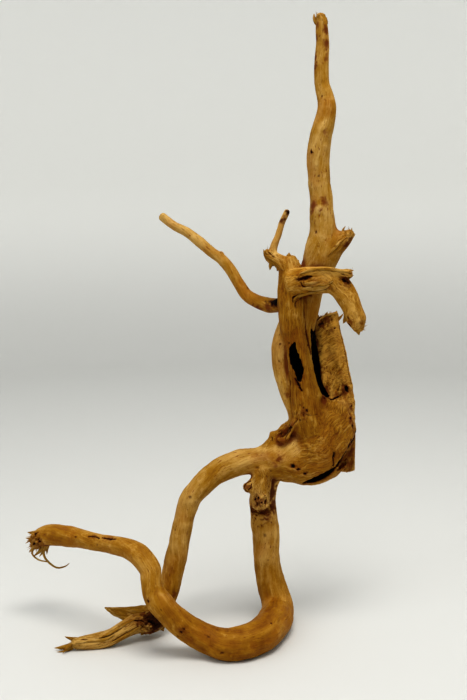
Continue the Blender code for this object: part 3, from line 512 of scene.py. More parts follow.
# Some rows are the wood's own stains. Others are painted shade: on the loop behind the stub, where the left
# branch meets the trunk and under it, and at the top of the plank under the burl.
STAINS_AND_SHADE = [  # x, y, z, radius, how red, how dark
    (115.6, 42.8, 504.4, 2.4, 0.8, 0.2), (116.0, 42.0, 493.4, 2.6, 0.8, 0.15),
    (115.4, 41.6, 481.9, 2.2, 0.6, 0.0),
    (105.6, 43.4, 482.7, 2.0, 0.8, 0.2), (105.7, 42.4, 475.0, 2.0, 0.8, 0.2),
    (107.0, 43.5, 498.6, 2.2, 0.7, 0.1),
    (107.8, 43.0, 508.5, 2.4, 0.6, 0.0),
    (114.9, 30.9, 420.9, 2.2, 0.55, 0.0), (105.3, 28.4, 361.4, 3.6, 0.8, 0.0),
    (103.6, 29.8, 357.3, 1.4, 0.7, 0.15), (115.0, 27.6, 364.4, 3.0, 0.7, 0.0),
    (107.0, 28.1, 374.4, 1.6, 0.2, 0.0), (79.7, 27.1, 349.3, 2.1, 0.9, 0.7),
    (81.3, 27.8, 353.4, 1.3, 0.6, 0.2), (84.6, 29.1, 356.7, 1.5, 0.9, 0.9),
    (75.5, 26.1, 282.6, 4.4, 0.9, 1.0), (74.5, 26.1, 280.0, 3.4, 0.9, 1.0),
    (67.5, 28.2, 277.1, 3.4, 0.7, 0.0),
    (58.2, 35.0, 275.1, 3.6, 0.8, 0.1), (48.4, 38.0, 280.0, 2.8, 0.5, 0.0),
    (67.5, 22.1, 318.9, 1.8, 0.6, 0.1), (97.7, 5.6, 302.1, 3.0, 0.8, 0.1),
    (107.6, 2.4, 299.0, 3.6, 0.45, 0.0), (117.3, 1.2, 296.7, 2.6, 0.6, 0.0),
    (93.3, 10.7, 286.3, 3.2, 0.45, 0.0), (104.0, 8.1, 290.6, 3.2, 0.35, 0.0),
    (132.4, 1.8, 300.6, 3.4, 0.7, 0.2), (137.2, -0.8, 307.1, 2.0, 0.5, 0.0),
    (136.0, 28.7, 333.1, 2.1, 0.6, 0.15), (132.7, 27.8, 329.0, 2.1, 0.9, 0.4),
    (127.8, 27.1, 323.3, 1.6, 0.4, 0.0), (146.2, -1.8, 267.9, 2.4, 0.35, 0.0),
    (136.7, -1.6, 267.9, 2.4, 0.6, 0.1), (116.1, 37.2, 268.2, 3.7, 0.8, 0.15),
    (112.8, 37.4, 262.2, 2.9, 0.85, 0.15), (121.3, 37.7, 257.0, 2.1, 0.5, 0.0),
    (107.7, 38.5, 243.9, 3.6, 0.8, 0.35), (111.3, 35.7, 222.7, 4.0, 0.7, 0.15),
    (116.6, 31.1, 206.2, 4.0, 0.7, 0.1), (125.1, 31.7, 201.0, 3.7, 0.6, 0.0),
    (132.7, 30.4, 206.6, 3.7, 0.75, 0.1), (129.2, 34.4, 221.4, 2.8, 0.4, 0.0),
    (119.6, 38.4, 235.4, 4.0, 0.35, 0.0), (126.4, 38.1, 248.4, 3.2, 0.3, 0.0),
    (84.4, 16.7, 204.0, 2.7, 0.6, 0.1), (84.4, 17.4, 221.0, 2.1, 0.4, 0.0),
    (83.5, 17.1, 172.1, 3.7, 0.75, 0.1), (81.5, 10.1, 165.9, 3.4, 0.6, 0.0),
    (88.9, 12.0, 180.2, 2.6, 0.6, 0.0), (98.3, 9.4, 190.4, 3.2, 0.5, 0.0),
    (78.2, 8.2, 150.8, 2.7, 0.8, 0.1), (75.7, 7.6, 144.8, 2.1, 0.6, 0.05),
    (63.7, 9.6, 152.6, 4.8, 0.35, 0.0), (94.2, 8.2, 141.7, 4.0, 0.35, 0.0),
    (138.0, 21.7, 182.6, 3.7, 0.6, 0.1), (137.9, 26.5, 191.9, 2.6, 0.6, 0.1),
    (137.3, 37.3, 151.0, 4.0, 0.8, 0.3), (137.4, 37.7, 140.2, 3.2, 0.7, 0.1),
    (115.5, 20.8, 135.4, 4.0, 0.6, 0.0), (70.3, 18.9, 118.6, 4.8, 0.95, 0.5),
    (71.2, 18.6, 127.6, 4.0, 0.95, 0.45), (63.1, 20.9, 100.8, 5.2, 0.9, 0.4),
    (55.1, 21.8, 101.1, 3.6, 0.9, 0.3), (71.6, 22.6, 105.9, 4.0, 0.9, 0.35),
    (68.6, 17.0, 96.9, 3.2, 0.5, 0.0), (51.1, 6.3, 126.2, 2.7, 0.6, 0.0),
    (61.7, 2.2, 115.6, 4.4, 0.55, 0.0), (-12.1, -12.2, 57.2, 4.0, 0.4, 0.0),
    (-14.3, -14.5, 49.2, 4.0, 0.3, 0.0), (-9.2, -15.4, 35.6, 2.7, 0.6, 0.1),
    (-26.2, -25.8, 19.8, 6.0, 1.0, 0.8), (-21.4, -25.0, 13.5, 5.2, 1.0, 0.85),
    (-32.4, -21.3, 23.7, 4.4, 0.8, 0.1), (-35.3, -30.7, 18.0, 3.6, 0.6, 0.0),
    (-27.7, -27.6, 8.2, 3.6, 0.8, 0.1), (5.6, -59.5, 26.9, 3.4, 0.55, 0.0),
    (49.5, -58.1, 16.2, 4.8, 0.35, 0.0), (31.7, -57.0, 18.8, 4.0, 0.3, 0.0),
    (12.4, -58.2, 17.4, 3.2, 0.4, 0.0), (59.3, -46.7, 23.8, 4.0, 0.15, 0.0),
    (-137.5, 3.4, 74.8, 4.0, 0.4, 0.0), (-133.3, 3.7, 68.4, 4.4, 0.5, 0.1),
    (-127.4, 2.8, 69.0, 2.8, 0.7, 0.1), (-21.3, -57.4, 48.8, 2.4, 0.3, 0.0),
    (-61.0, -24.3, 87.7, 3.6, 0.5, 0.0), (-76.8, -18.1, 85.7, 2.8, 0.5, 0.0),
]
# The dark of a crack is painted shade in its groove, with the wood's own dark.
CRACKS = [  # places with half widths, depth, how dark
    ([(91.6, 10.2, 218.9, 0.56), (94.1, 9.7, 214.8, 0.8), (97.1, 9.4, 209.0, 0.4)], 2.0, 1.0),
    ([(86.6, 11.2, 248.9, 0.4), (86.6, 15.8, 240.8, 0.48), (87.3, 12.8, 232.8, 0.32),
       (86.3, 14.6, 222.3, 0.32), (87.1, 14.7, 213.8, 0.48), (87.0, 15.6, 203.4, 0.48)], 1.0, 0.75),
    ([(87.0, 15.6, 201.7, 0.32), (87.9, 15.4, 193.2, 0.28), (89.2, 14.5, 183.1, 0.24)], 0.5, 0.4),
    ([(98.3, 15.4, 281.8, 0.24), (99.5, 16.4, 269.3, 0.4), (100.2, 18.1, 257.4, 0.56),
       (102.3, 19.0, 247.2, 0.64), (104.3, 20.0, 238.7, 0.56)], 0.9, 0.6),
    ([(125.0, 22.0, 147.0, 0.9), (130.6, 24.0, 152.5, 1.2), (135.0, 26.0, 160.0, 1.3),
        (139.4, 26.0, 168.0, 0.9)],
     1.2, 1.0),
    ([(124.2, 7.8, 157.2, 0.4), (123.7, 7.9, 152.9, 0.48), (123.6, 9.4, 145.7, 0.4)], 1.2, 1.0),
    ([(117.9, 38.7, 252.2, 0.32), (120.4, 38.0, 255.3, 0.48), (123.8, 37.9, 258.7, 0.32)], 1.0, 0.85),
    ([(89.7, 9.2, 283.1, 0.24), (90.0, 9.7, 286.8, 0.48), (94.9, 10.8, 288.8, 0.48),
       (102.4, 7.5, 290.9, 0.4), (110.7, 5.3, 292.2, 0.4), (116.4, 3.0, 293.7, 0.24)], 0.9, 0.8),
    ([(92.1, 9.4, 279.0, 0.24), (92.3, 9.9, 283.1, 0.4), (96.4, 13.0, 286.1, 0.4),
       (103.5, 18.7, 288.2, 0.32), (110.0, 21.2, 289.0, 0.2)], 0.8, 0.65),
    ([(96.9, 4.2, 299.8, 0.32), (98.1, 4.6, 296.1, 0.48), (102.6, 4.0, 295.7, 0.32)], 0.8, 0.7),
    ([(101.9, 3.3, 298.6, 0.32), (105.9, 2.6, 299.0, 0.4), (109.2, 2.0, 299.9, 0.24)], 0.5, 0.5),
    ([(112.4, 1.7, 298.3, 0.24), (116.8, 1.6, 295.8, 0.48), (119.7, 0.2, 298.3, 0.4),
       (122.1, -0.2, 300.4, 0.24)], 0.8, 0.6),
    ([(109.3, 38.8, 265.9, 0.56), (112.3, 38.3, 268.5, 0.72), (117.8, 37.4, 269.9, 0.48),
       (123.7, 39.5, 270.6, 0.24)], 1.0, 0.8),
    ([(109.8, 38.2, 261.2, 0.4), (112.8, 37.4, 262.8, 0.72), (116.6, 38.1, 261.7, 0.32)], 0.9, 0.7),
    ([(126.2, 42.0, 266.9, 0.28), (128.8, 41.4, 254.1, 0.32), (131.9, 40.8, 239.5, 0.32),
       (135.0, 37.9, 224.4, 0.32), (137.7, 35.1, 211.0, 0.32)], 0.5, 0.65),
    ([(115.1, 26.5, 200.1, 0.7), (121.0, 27.4, 198.8, 0.75), (127.7, 30.8, 200.8, 0.6),
       (132.3, 29.1, 205.1, 0.5)], 1.1, 0.9),
    ([(109.4, 37.4, 244.1, 0.24), (112.1, 36.0, 234.8, 0.24), (111.3, 35.7, 224.5, 0.24)], 0.3, 0.3),
    ([(-82.6, -16.3, 84.8, 0.32), (-78.9, -16.9, 85.7, 0.64), (-74.8, -18.7, 86.0, 0.56),
       (-71.0, -21.5, 85.8, 0.32)], 0.9, 0.75),
    ([(-68.7, -21.7, 86.5, 0.32), (-63.8, -23.5, 87.1, 0.72), (-59.8, -25.6, 87.5, 0.72),
       (-54.7, -28.2, 88.0, 0.24)], 1.1, 0.9),
    ([(-27.4, -28.5, 14.8, 0.4), (-34.7, -29.8, 19.0, 0.48), (-42.8, -31.7, 19.4, 0.48),
       (-49.2, -36.7, 16.1, 0.48), (-56.4, -42.2, 12.2, 0.4), (-65.3, -46.9, 9.1, 0.32)], 1.1, 0.8),
    ([(-38.2, -33.5, 13.9, 0.24), (-45.6, -38.2, 11.3, 0.4), (-53.6, -43.3, 7.2, 0.32),
       (-61.9, -47.1, 6.0, 0.24)], 0.8, 0.5),
    ([(-87.9, -51.2, 7.7, 0.24), (-78.0, -49.9, 9.4, 0.4), (-68.3, -48.4, 8.0, 0.4),
       (-59.1, -44.6, 10.1, 0.25), (-53.5, -40.2, 13.6, 0.2)], 0.7, 0.45),
    ([(53.9, 7.9, 131.0, 0.4), (50.8, 8.7, 129.3, 0.48), (49.1, 7.2, 126.7, 0.56),
       (49.8, 6.5, 123.5, 0.48), (52.2, 7.3, 121.1, 0.32)], 1.1, 0.9),
    ([(55.0, 5.8, 129.1, 0.32), (54.5, 5.2, 126.2, 0.4), (52.4, 5.8, 123.7, 0.32)], 0.9, 0.8),
    ([(51.9, 22.8, 102.5, 0.32), (54.0, 19.7, 99.1, 0.48), (57.4, 16.8, 94.8, 0.32)], 0.8, 0.7),
    ([(94.0, 10.9, 184.9, 0.32), (89.4, 11.3, 179.1, 0.48), (86.9, 11.5, 173.4, 0.48),
       (83.2, 10.0, 168.1, 0.4)], 0.8, 0.5),
    ([(77.9, 22.5, 175.1, 0.32), (80.0, 17.7, 172.7, 0.48), (79.3, 16.0, 167.9, 0.32)], 0.9, 0.6),
    ([(70.1, 19.0, 169.6, 0.24), (72.0, 16.8, 166.7, 0.4), (71.6, 16.2, 163.3, 0.24)], 0.7, 0.5),
    ([(98.3, 9.4, 190.4, 0.24), (103.3, 9.3, 188.4, 0.4), (109.9, 11.2, 188.9, 0.32)], 0.5, 0.4),
    ([(71.4, 8.5, 140.1, 0.32), (68.9, 7.8, 135.0, 0.32), (69.0, 6.4, 127.6, 0.32)], 0.6, 0.5),
    ([(122.8, 0.2, 309.5, 0.24), (130.8, -1.1, 306.0, 0.4), (136.4, -0.3, 304.7, 0.32)], 0.7, 0.6),
    ([(66.9, 20.0, 325.1, 0.24), (70.3, 18.9, 322.6, 0.4), (73.8, 17.7, 319.8, 0.24)], 0.6, 0.5),
]
# Some of these spots are the wood's own paler and deeper patches, others painted highlights and painted
# shade.
TONE_AND_LIGHT_SPOTS = [  # x, y, z, radius, how much paler
    (110.4, 26.0, 358.7, 3.6, 0.55), (106.1, 29.2, 394.7, 12.0, 0.12), (113.8, 39.5, 468.1, 14.0, -0.14),
    (110.7, 34.2, 437.8, 9.0, -0.04), (-138.0, 6.0, 71.0, 8.0, 0.35), (102.4, 23.5, 321.9, 9.0, 0.20),
    (123.7, 25.4, 331.6, 7.6, -0.12),
    (85.5, 15.8, 315.6, 6.4, 0.10), (87.7, 8.2, 293.0, 5.6, 0.15), (104.3, 3.2, 295.4, 6.4, 0.15),
    (99.0, 4.0, 307.0, 8.0, -0.2),
    (116.4, 0.8, 309.5, 9.0, 0.44), (130.8, 0.9, 309.5, 5.6, 0.25), (76.0, 18.0, 246.3, 8.8, 0.18),
    (81.0, 17.5, 226.9, 6.4, 0.12), (123.9, 37.7, 238.1, 8.0, 0.25), (112.9, 38.1, 206.7, 5.6, -0.2),
    (119.6, 38.6, 250.0, 5.6, -0.15), (105.8, 9.2, 181.2, 7.2, 0.22), (132.9, 22.4, 194.3, 6.4, 0.15),
    (132.3, 12.3, 170.8, 9.6, -0.15), (45.0, 8.6, 152.4, 11.0, 0.12), (63.1, 15.4, 158.1, 8.0, 0.05),
    (59.1, 2.9, 121.4, 5.6, 0.30), (64.1, 2.7, 114.5, 6.4, 0.40), (65.8, 17.6, 57.9, 9.6, 0.22),
    (-21.2, -48.6, 72.9, 11.0, 0.06), (-111.2, -5.2, 84.3, 10.0, -0.15), (-1.5, -4.1, 63.3, 9.0, -0.2),
    (-6.5, -11.3, 39.3, 9.0, -0.2), (95.7, 10.9, 259.8, 12.0, -0.06), (110.0, 22.7, 279.6, 8.0, -0.15),
    (136.5, -2.0, 285.6, 8.0, 0.1), (95.8, 9.6, 154.3, 9.6, 0.1), (55.4, 5.9, 129.9, 4.8, 0.3),
    (24.0, 3.0, 142.0, 16.0, -0.22), (-52.2, -42.1, 10.2, 12.0, 0.14), (66.0, 16.6, 74.0, 12.0, 0.12),
]
KNOBS = [  # x, y, z, radius, height
    (110.4, 26.0, 358.7, 3.7, 0.9), (5.6, -59.2, 30.1, 3.5, 1.1), (65.2, 16.0, 81.0, 4.8, 0.8),
    (112.5, 30.9, 424.5, 4.0, 0.7), (104.3, 30.8, 407.0, 3.4, 0.8), (115.8, 31.4, 410.0, 3.2, 0.6),
    (-6.6, -57.3, 50.4, 4.8, 0.5), (87.6, 9.3, 284.8, 4.8, 0.4), (25.0, 46.2, 323.6, 2.4, 0.5),
    (63.9, 7.2, 141.1, 4.8, 0.6), (84.3, 9.2, 276.5, 4.0, 0.3), (44.1, 16.1, 155.7, 5.6, 0.5),
    (80.9, 18.7, 203.6, 4.0, 0.4), (132.6, -0.7, 277.5, 3.2, 0.4), (140.6, -3.0, 276.1, 3.2, 0.5),
]
ROUGH = [  # x, y, z, radius, height, width of one crumple
    (82.6, 17.3, 172.9, 8.8, 1.5, 4.6), (63.4, 2.4, 115.6, 8.0, 2.0, 2.9),
    (50.2, 6.5, 126.1, 4.8, 0.8, 3.0), (105.9, 3.5, 295.8, 10.4, 0.9, 4.4),
    (68.5, 20.5, 318.1, 6.4, 1.3, 4.0), (116.1, 37.2, 268.2, 7.2, 1.0, 3.6),
    (-137.6, 3.3, 73.0, 8.8, 1.8, 3.2), (-26.1, -26.2, 19.1, 11.2, 1.7, 4.2),
    (-29.2, -28.6, 8.6, 6.4, 1.4, 3.2), (143.1, -2.2, 264.8, 6.4, 0.9, 4.0),
    (136.4, -1.0, 307.1, 4.8, 1.2, 3.2), (135.1, 27.8, 336.4, 5.6, 1.0, 3.6),
    (109.2, 43.5, 516.7, 4.0, 0.8, 2.6), (138.8, 23.4, 183.9, 6.4, 0.9, 3.2),
    (7.1, -59.2, 25.2, 4.0, 0.7, 2.6), (129.3, 31.5, 204.6, 5.6, 0.7, 3.2),
    (95.8, 10.1, 188.5, 6.4, 0.6, 3.4), (55.5, 18.1, 98.8, 4.8, 0.7, 3.4),
]


def table_places(rows):
    return np.array(rows, float)[:, :3] - MIDDLE


def close_to(points, place, reach):
    """Numbers of the points within a box round a place."""
    return np.nonzero((np.abs(points - place) < reach).all(1))[0]


def crack_gap(points, route):
    """Distance to a crack as a share of its half width there, and the gap to its edge."""
    places, halves = table_places(route), [row[3] for row in route]
    ratio = np.full(len(points), np.inf)
    gap = np.full(len(points), np.inf)
    for start, end, first, last in zip(places[:-1], places[1:], halves[:-1], halves[1:]):
        span = end - start
        t = np.clip((points - start) @ span / (span @ span), 0.0, 1.0)
        away = np.linalg.norm(points - start - t[:, None] * span, axis=1)
        half = first + (last - first) * t
        ratio = np.minimum(ratio, away / half)
        gap = np.minimum(gap, away - half)
    return ratio, gap


def nearest_along(place):
    """Direction of the grain of the limb nearest to a place."""
    best, along = np.inf, None
    for limb in TREE.values():
        depth = np.linalg.norm(limb.centre - place, axis=1) - limb.wide
        k = int(np.argmin(depth))
        if depth[k] < best:
            best, along = depth[k], limb.along[k]
    return along


def marks_at(points):
    """For each point: the gap to the nearest pit or crack, how deep it is dug, how red and how dark."""
    gap, dug, red_at, dark_and_shade = np.full(len(points), 9.0), *np.zeros((3, len(points)))
    rough = 1.0 + 0.35 * lattice_noise(points / 1.3, 21) + 0.2 * lattice_noise(points / 0.6, 22)
    broad_rough = 1.0 + 0.8 * lattice_noise(points / 2.4, 23) + 0.5 * lattice_noise(points / 1.0, 24)

    def dig(index, ratio, free, depth, dark):
        ratio = ratio * rough[index]
        gap[index] = np.minimum(gap[index], free)
        dug[index] = np.maximum(dug[index], depth * np.clip((1.25 - ratio) / 0.75, 0.0, 1.0))
        dark_and_shade[index] = np.maximum(dark_and_shade[index], dark * np.clip((1.25 - ratio) / 0.5, 0.0, 1.0))
        red_at[index] = np.maximum(red_at[index], dark * 0.8 * np.clip((2.2 - ratio) / 1.2, 0.0, 1.0))

    for x, y, z, radius, depth, dark in PITS:
        place = np.array([x, y, z]) - MIDDLE
        index = close_to(points, place, radius * 4 + 2)
        away = points[index] - place
        along = nearest_along(place)
        away = away - (away @ along)[:, None] * along * (1 - 1 / PIT_STRETCH)
        away = np.linalg.norm(away, axis=1)
        dig(index, away / radius, away - radius, depth, dark)
    for route, depth, dark in CRACKS:
        places = table_places(route)
        reach = (places.max(0) - places.min(0)) / 2 + 4
        index = close_to(points, (places.max(0) + places.min(0)) / 2, reach)
        ratio, free = crack_gap(points[index], route)
        dig(index, ratio, free, depth, dark)
    for x, y, z, radius, red, dark in STAINS_AND_SHADE:
        place = np.array([x, y, z]) - MIDDLE
        index = close_to(points, place, radius * 2.6)
        away = points[index] - place
        along = nearest_along(place)
        away = away - (away @ along)[:, None] * along * (1 - 1 / PIT_STRETCH)
        ratio = np.linalg.norm(away, axis=1) / radius * np.maximum(broad_rough[index], 0.2)
        fade = np.clip((1.5 - ratio) / 1.1, 0.0, 1.0)
        red_at[index] = np.maximum(red_at[index], red * fade)
        dark_and_shade[index] = np.maximum(dark_and_shade[index], dark * fade)
    return gap, dug, red_at, dark_and_shade


# %% [markdown]
# An even mesh fine enough for every crack would be far too heavy. So only the edges near a hollow, a crumpled
# place, a pit or a crack are split, and the plain stretches keep the larger faces of the grid.

# %% Finer faces where there is something to see
def refine(points, faces, wanted, rounds):
    """Splits the edges whose ends are both wanted, and returns points and triangles."""
    work = bmesh.new()
    vertices = [work.verts.new(p) for p in points]
    for face in faces:
        work.faces.new([vertices[i] for i in face])
    bmesh.ops.triangulate(work, faces=work.faces)
    for _ in range(rounds):
        places = np.array([v.co[:] for v in work.verts])
        chosen = wanted(places)
        work.verts.index_update()
        edges = [e for e in work.edges if chosen[e.verts[0].index] and chosen[e.verts[1].index]]
        bmesh.ops.subdivide_edges(work, edges=edges, cuts=1)
        bmesh.ops.triangulate(work, faces=[f for f in work.faces if len(f.verts) > 3])
    work.verts.index_update()
    points = np.array([v.co[:] for v in work.verts])
    faces = np.array([[v.index for v in f.verts] for f in work.faces])
    work.free()
    return points, faces


def near_hollow_or_torn(points):
    near = np.zeros(len(points), bool)
    for hole in HOLES.values():
        reach = hole.deep_by.max() + MARGIN
        inside = ((points > hole.centre.min(0) - reach) & (points < hole.centre.max(0) + reach)).all(1)
        index = np.nonzero(inside)[0]
        near[index] |= np.abs(limb_depth(hole, points[index])) < 1.6
    for x, y, z, radius, height, wave in ROUGH:
        near |= np.linalg.norm(points - (np.array([x, y, z]) - MIDDLE), axis=1) < radius
    return near


skin_points, skin_faces = refine(skin_points, skin_faces, near_hollow_or_torn, 1)
for reach in (1.1, 0.45):
    skin_points, skin_faces = refine(skin_points, skin_faces, lambda p: marks_at(p)[0] < reach, 1)
print("refined skin: points", len(skin_points), "triangles", len(skin_faces))

# %% [markdown]
# Every point of the skin is given its place in the grain: how far along its limb it lies, and where in the
# limb's section. Limbs that touch get different layers, so that the grain of one can fade into the next
# without a seam. The same places then steer the carving and the colours.

# %% Give every point its place in the grain
def soft_depth(points, keep_places=False):
    """The same soft distance as on the grid, at any points, with each limb's own places if asked."""
    total = np.full(len(points), FAR)
    places = {}
    for name, limb in TREE.items():
        reach = np.maximum(limb.wide, limb.deep_by).max() + MARGIN
        inside = ((points > limb.centre.min(0) - reach) & (points < limb.centre.max(0) + reach)).all(1)
        index = np.nonzero(inside)[0]
        depth, s, a, b = limb_place(limb, points[index])
        total[index] = soft_min(total[index], np.minimum(depth, FAR), WEB[name])
        if keep_places:
            places[name] = (index, depth, s, a, b)
    for name, hole in HOLES.items():
        reach = np.maximum(hole.wide, hole.deep_by).max() + MARGIN
        inside = ((points > hole.centre.min(0) - reach) & (points < hole.centre.max(0) + reach)).all(1)
        index = np.nonzero(inside)[0]
        total[index] = soft_cut(total[index], hollow_depth(hole, points[index]), 0.8)
        if name in SHAPING:
            uncut = total.copy()
    return total, uncut, places


def point_normals(points, faces):
    corners = points[faces]
    turned = np.cross(corners[:, 1] - corners[:, 0], corners[:, 2] - corners[:, 0])
    normals = np.zeros_like(points)
    for k in range(3):
        np.add.at(normals, faces[:, k], turned)
    return unit(normals)


normals = point_normals(skin_points, skin_faces)
for _ in range(2):
    step = np.clip(soft_depth(skin_points)[0], -0.6, 0.6)
    skin_points = skin_points - normals * (step * 0.8)[:, None]
    normals = point_normals(skin_points, skin_faces)
_, uncut_depth, limb_places = soft_depth(skin_points, keep_places=True)
nearest = np.full(len(skin_points), FAR)
for index, depth, s, a, b in limb_places.values():
    nearest[index] = np.minimum(nearest[index], depth)

SHARE_FADE = 1.1  # millimetres over which the grain of one limb gives way to the next
SHARE_LEAST = 0.02  # smaller shares count as none
touching = {name: set() for name in TREE}
share_raw = {}
for name, (index, depth, s, a, b) in limb_places.items():
    weight = np.zeros(len(skin_points))
    weight[index] = np.exp(-np.maximum(depth - nearest[index], 0.0) / SHARE_FADE)
    weight[weight < SHARE_LEAST] = 0.0
    share_raw[name] = weight
for name in TREE:
    for other in TREE:
        if other != name and ((share_raw[name] > 0) & (share_raw[other] > 0)).sum() > 4:
            touching[name].add(other)
layer_of = {}
for name in sorted(TREE, key=lambda n: -len(touching[n])):
    taken = {layer_of[other] for other in touching[name] if other in layer_of}
    layer_of[name] = min(set(range(len(TREE))) - taken)
LAYERS = max(layer_of.values()) + 1
print("grain layers:", LAYERS)

# %% Lay the grain along the limbs
RINGS = {  # limbs whose grain runs in rings round a place: x, z, and the radius where it keeps its scale
    "slab": (139.0, 207.0, 22.0), "burl": (88.0, 206.0, 50.0), "burl_foot": (88.0, 206.0, 50.0),
}
GRAIN_APART = 400.0  # millimetres between the grain places of two limbs, so that no two look alike
TWIST = {"upright": 0.012, "leg": -0.02, "loop": 0.016, "front_strand": 0.01, "left_branch": 0.03}
grain = np.zeros((LAYERS, len(skin_points), 3))
share = np.zeros((LAYERS, len(skin_points)))
for number, (name, (index, depth, s, a, b)) in enumerate(limb_places.items()):
    layer = layer_of[name]
    weight = share_raw[name][index]
    mine = weight > share[layer][index]
    turn = s * TWIST.get(name, 0.006)
    across = a * np.cos(turn) - b * np.sin(turn)
    deep = a * np.sin(turn) + b * np.cos(turn)
    place = np.stack([s + GRAIN_APART * number, across, deep], 1)
    if name in RINGS:
        x, z, scale = RINGS[name]
        away = skin_points[index] - (np.array([x, 0.0, z]) - MIDDLE)
        round_it = np.arctan2(away[:, 2], away[:, 0]) % (2 * np.pi)
        from_middle = np.hypot(away[:, 0], away[:, 2])
        place = np.stack([round_it * scale + GRAIN_APART, from_middle, 0.5 * away[:, 1]], 1)
    grain[layer][index[mine]] = place[mine]
    share[layer][index[mine]] = weight[mine]
share /= np.maximum(share.sum(0), 1e-6)

# %% [markdown]
# Noise made in plain numbers carves the wood: broad lumps, long ridges that run with the grain, and fine
# wrinkles. It reads the grain places and not the space around, so the ridges bend with each limb.

# %% Noise along the grain, and the carving
def grain_noise(long_mm, across_mm, seed):
    """Noise that is long_mm long with the grain and across_mm wide across it, blended between the layers."""
    scale = np.array([1 / long_mm, 1 / across_mm, 1 / across_mm])
    total = np.zeros(len(skin_points))
    for layer in range(LAYERS):
        used = share[layer] > 0.004
        total[used] += share[layer][used] * lattice_noise(grain[layer][used] * scale, seed)
    return total


thickness = np.zeros(len(skin_points))
for name, (index, depth, s, a, b) in limb_places.items():
    girth = np.interp(s, TREE[name].length, np.minimum(TREE[name].wide, TREE[name].deep_by))
    thickness[index] += share_raw[name][index] * girth
thickness /= np.maximum(sum(share_raw.values()), 1e-6)
size = np.clip(thickness / 10.0, 0.25, 1.1)

carved = 0.60 * size * lattice_noise(skin_points / 17.0, 3)
carved += 0.32 * size * lattice_noise(skin_points / 8.0, 4)
carved += 0.50 * size * grain_noise(40.0, 6.0, 5)
ridge_wave = grain_noise(26.0, 3.4, 6)
carved += 0.34 * size * (0.4 - np.abs(ridge_wave) * 1.8)
carved += 0.10 * grain_noise(9.0, 1.9, 7)
carved += 0.10 * size * grain_noise(4.0, 14.0, 8) * (lattice_noise(skin_points / 30.0, 9) > 0.1)

def crumpled(points):
    """Extra height where the wood is torn or crumpled, and how deep each point lies between the folds."""
    height, folded = np.zeros((2, len(points)))
    for x, y, z, radius, rise, wave in ROUGH:
        place = np.array([x, y, z]) - MIDDLE
        index = close_to(points, place, radius * 1.2)
        fade = np.clip((1.15 - np.linalg.norm(points[index] - place, axis=1) / radius) / 0.7, 0.0, 1.0)
        along = nearest_along(place)
        away = points[index] - place
        away = (away - (away @ along)[:, None] * along * 0.5) / wave
        away += 0.35 * lattice_noise(away * 0.8, 33)[:, None]
        broad = 1 - 3.2 * np.abs(lattice_noise(away, 31))
        small = 1 - 3.2 * np.abs(lattice_noise(away * 2.3, 32))
        shape = 0.7 * broad + 0.3 * small
        height[index] += fade * rise * (shape - 0.1)
        folded[index] = np.maximum(folded[index], fade * np.clip((0.05 - shape) / 0.8, 0.0, 1.0))
    return height, folded


gap, dug, red_at, dark_and_shade = marks_at(skin_points)
# Painted shade: what lies below the uncut surface, inside a hollow, is darkened.
hollow_shade = np.clip((-uncut_depth - 0.8) / 1.8, 0.0, 1.0)
dark_and_shade = np.maximum(dark_and_shade, hollow_shade)
# Painted shade inside the hollows: how dark each gets; the others get fully dark.
SHADE_INSIDE_HOLLOWS = {  # how dark a hollow gets inside; the others get fully dark
    "arm_pit": 0.75, "arm_root_pit": 0.65, "fold_pocket": 0.7, "torn_mouth": 0.8, "burl_crack": 0.85,
}
# Painted shade: the walls of each hollow are darkened, the deeper the darker.
for name in (n for n in HOLES if n not in SHAPING):
    hole = HOLES[name]
    reach = hole.deep_by.max() + MARGIN
    above = skin_points > hole.centre.min(0) - reach
    below = skin_points < hole.centre.max(0) + reach
    index = np.nonzero((above & below).all(1))[0]
    to_centre = skin_points[index][:, None] - hole.centre[None]
    nearest_one = np.argmin((to_centre**2).sum(2), axis=1)
    away = to_centre[np.arange(len(index)), nearest_one]
    on_wall = np.clip((1.6 - np.abs(hollow_depth(hole, skin_points[index]))) / 0.8, 0.0, 1.0)
    on_wall *= (away * normals[index]).sum(1) < 0
    under = np.clip((-uncut_depth[index] - 0.4) / 0.8, 0.0, 1.0)
    sunk = np.maximum(under, np.clip((away[:, 1] - 2.0) / 3.0, 0.0, 1.0))
    most = SHADE_INSIDE_HOLLOWS.get(name, 1.0)
    kept = np.minimum(dark_and_shade[index], np.where(on_wall > 0, most, 1.0))
    dark_and_shade[index] = np.maximum(kept, most * on_wall * sunk)
crumple, folded = crumpled(skin_points)
carved += np.clip(crumple, -2.2, 1.6)
for x, y, z, radius, height in KNOBS:
    away = np.linalg.norm(skin_points - (np.array([x, y, z]) - MIDDLE), axis=1)
    carved += height * np.exp(-((away / radius) ** 2) * 1.6)
floor_fade = np.clip((skin_points[:, 2] - 0.3) / 2.5, 0.0, 1.0)
carved_points = skin_points + normals * ((carved - dug) * floor_fade)[:, None]
carved_points[:, 2] = np.maximum(carved_points[:, 2], 0.0)
print("carved by, mm:", round(float(carved.min()), 2), "to", round(float(carved.max()), 2))

# %% [markdown]
# Places that light can't reach get painted shade, darker and redder, and the ridges are rubbed pale. How shut
# in
# a place is comes from the same grid: free room a few millimetres outwards means open, other wood there means
# shut in. How worn it is comes from how far it stands above its neighbours.

# %% Painted shade where a place is shut in, and how worn each place is
def field_at(points):
    """Grid distance at any points, by the eight nearest grid values."""
    place = (points - low_corner) / GRID
    cell = np.clip(np.floor(place).astype(int), 0, shape - 2)
    t = np.clip(place - cell, 0.0, 1.0)
    total = np.zeros(len(points))
    for i in (0, 1):
        for j in (0, 1):
            for k in (0, 1):
                weight = np.abs(1 - i - t[:, 0]) * np.abs(1 - j - t[:, 1]) * np.abs(1 - k - t[:, 2])
                total += weight * field[cell[:, 0] + i, cell[:, 1] + j, cell[:, 2] + k]
    return total


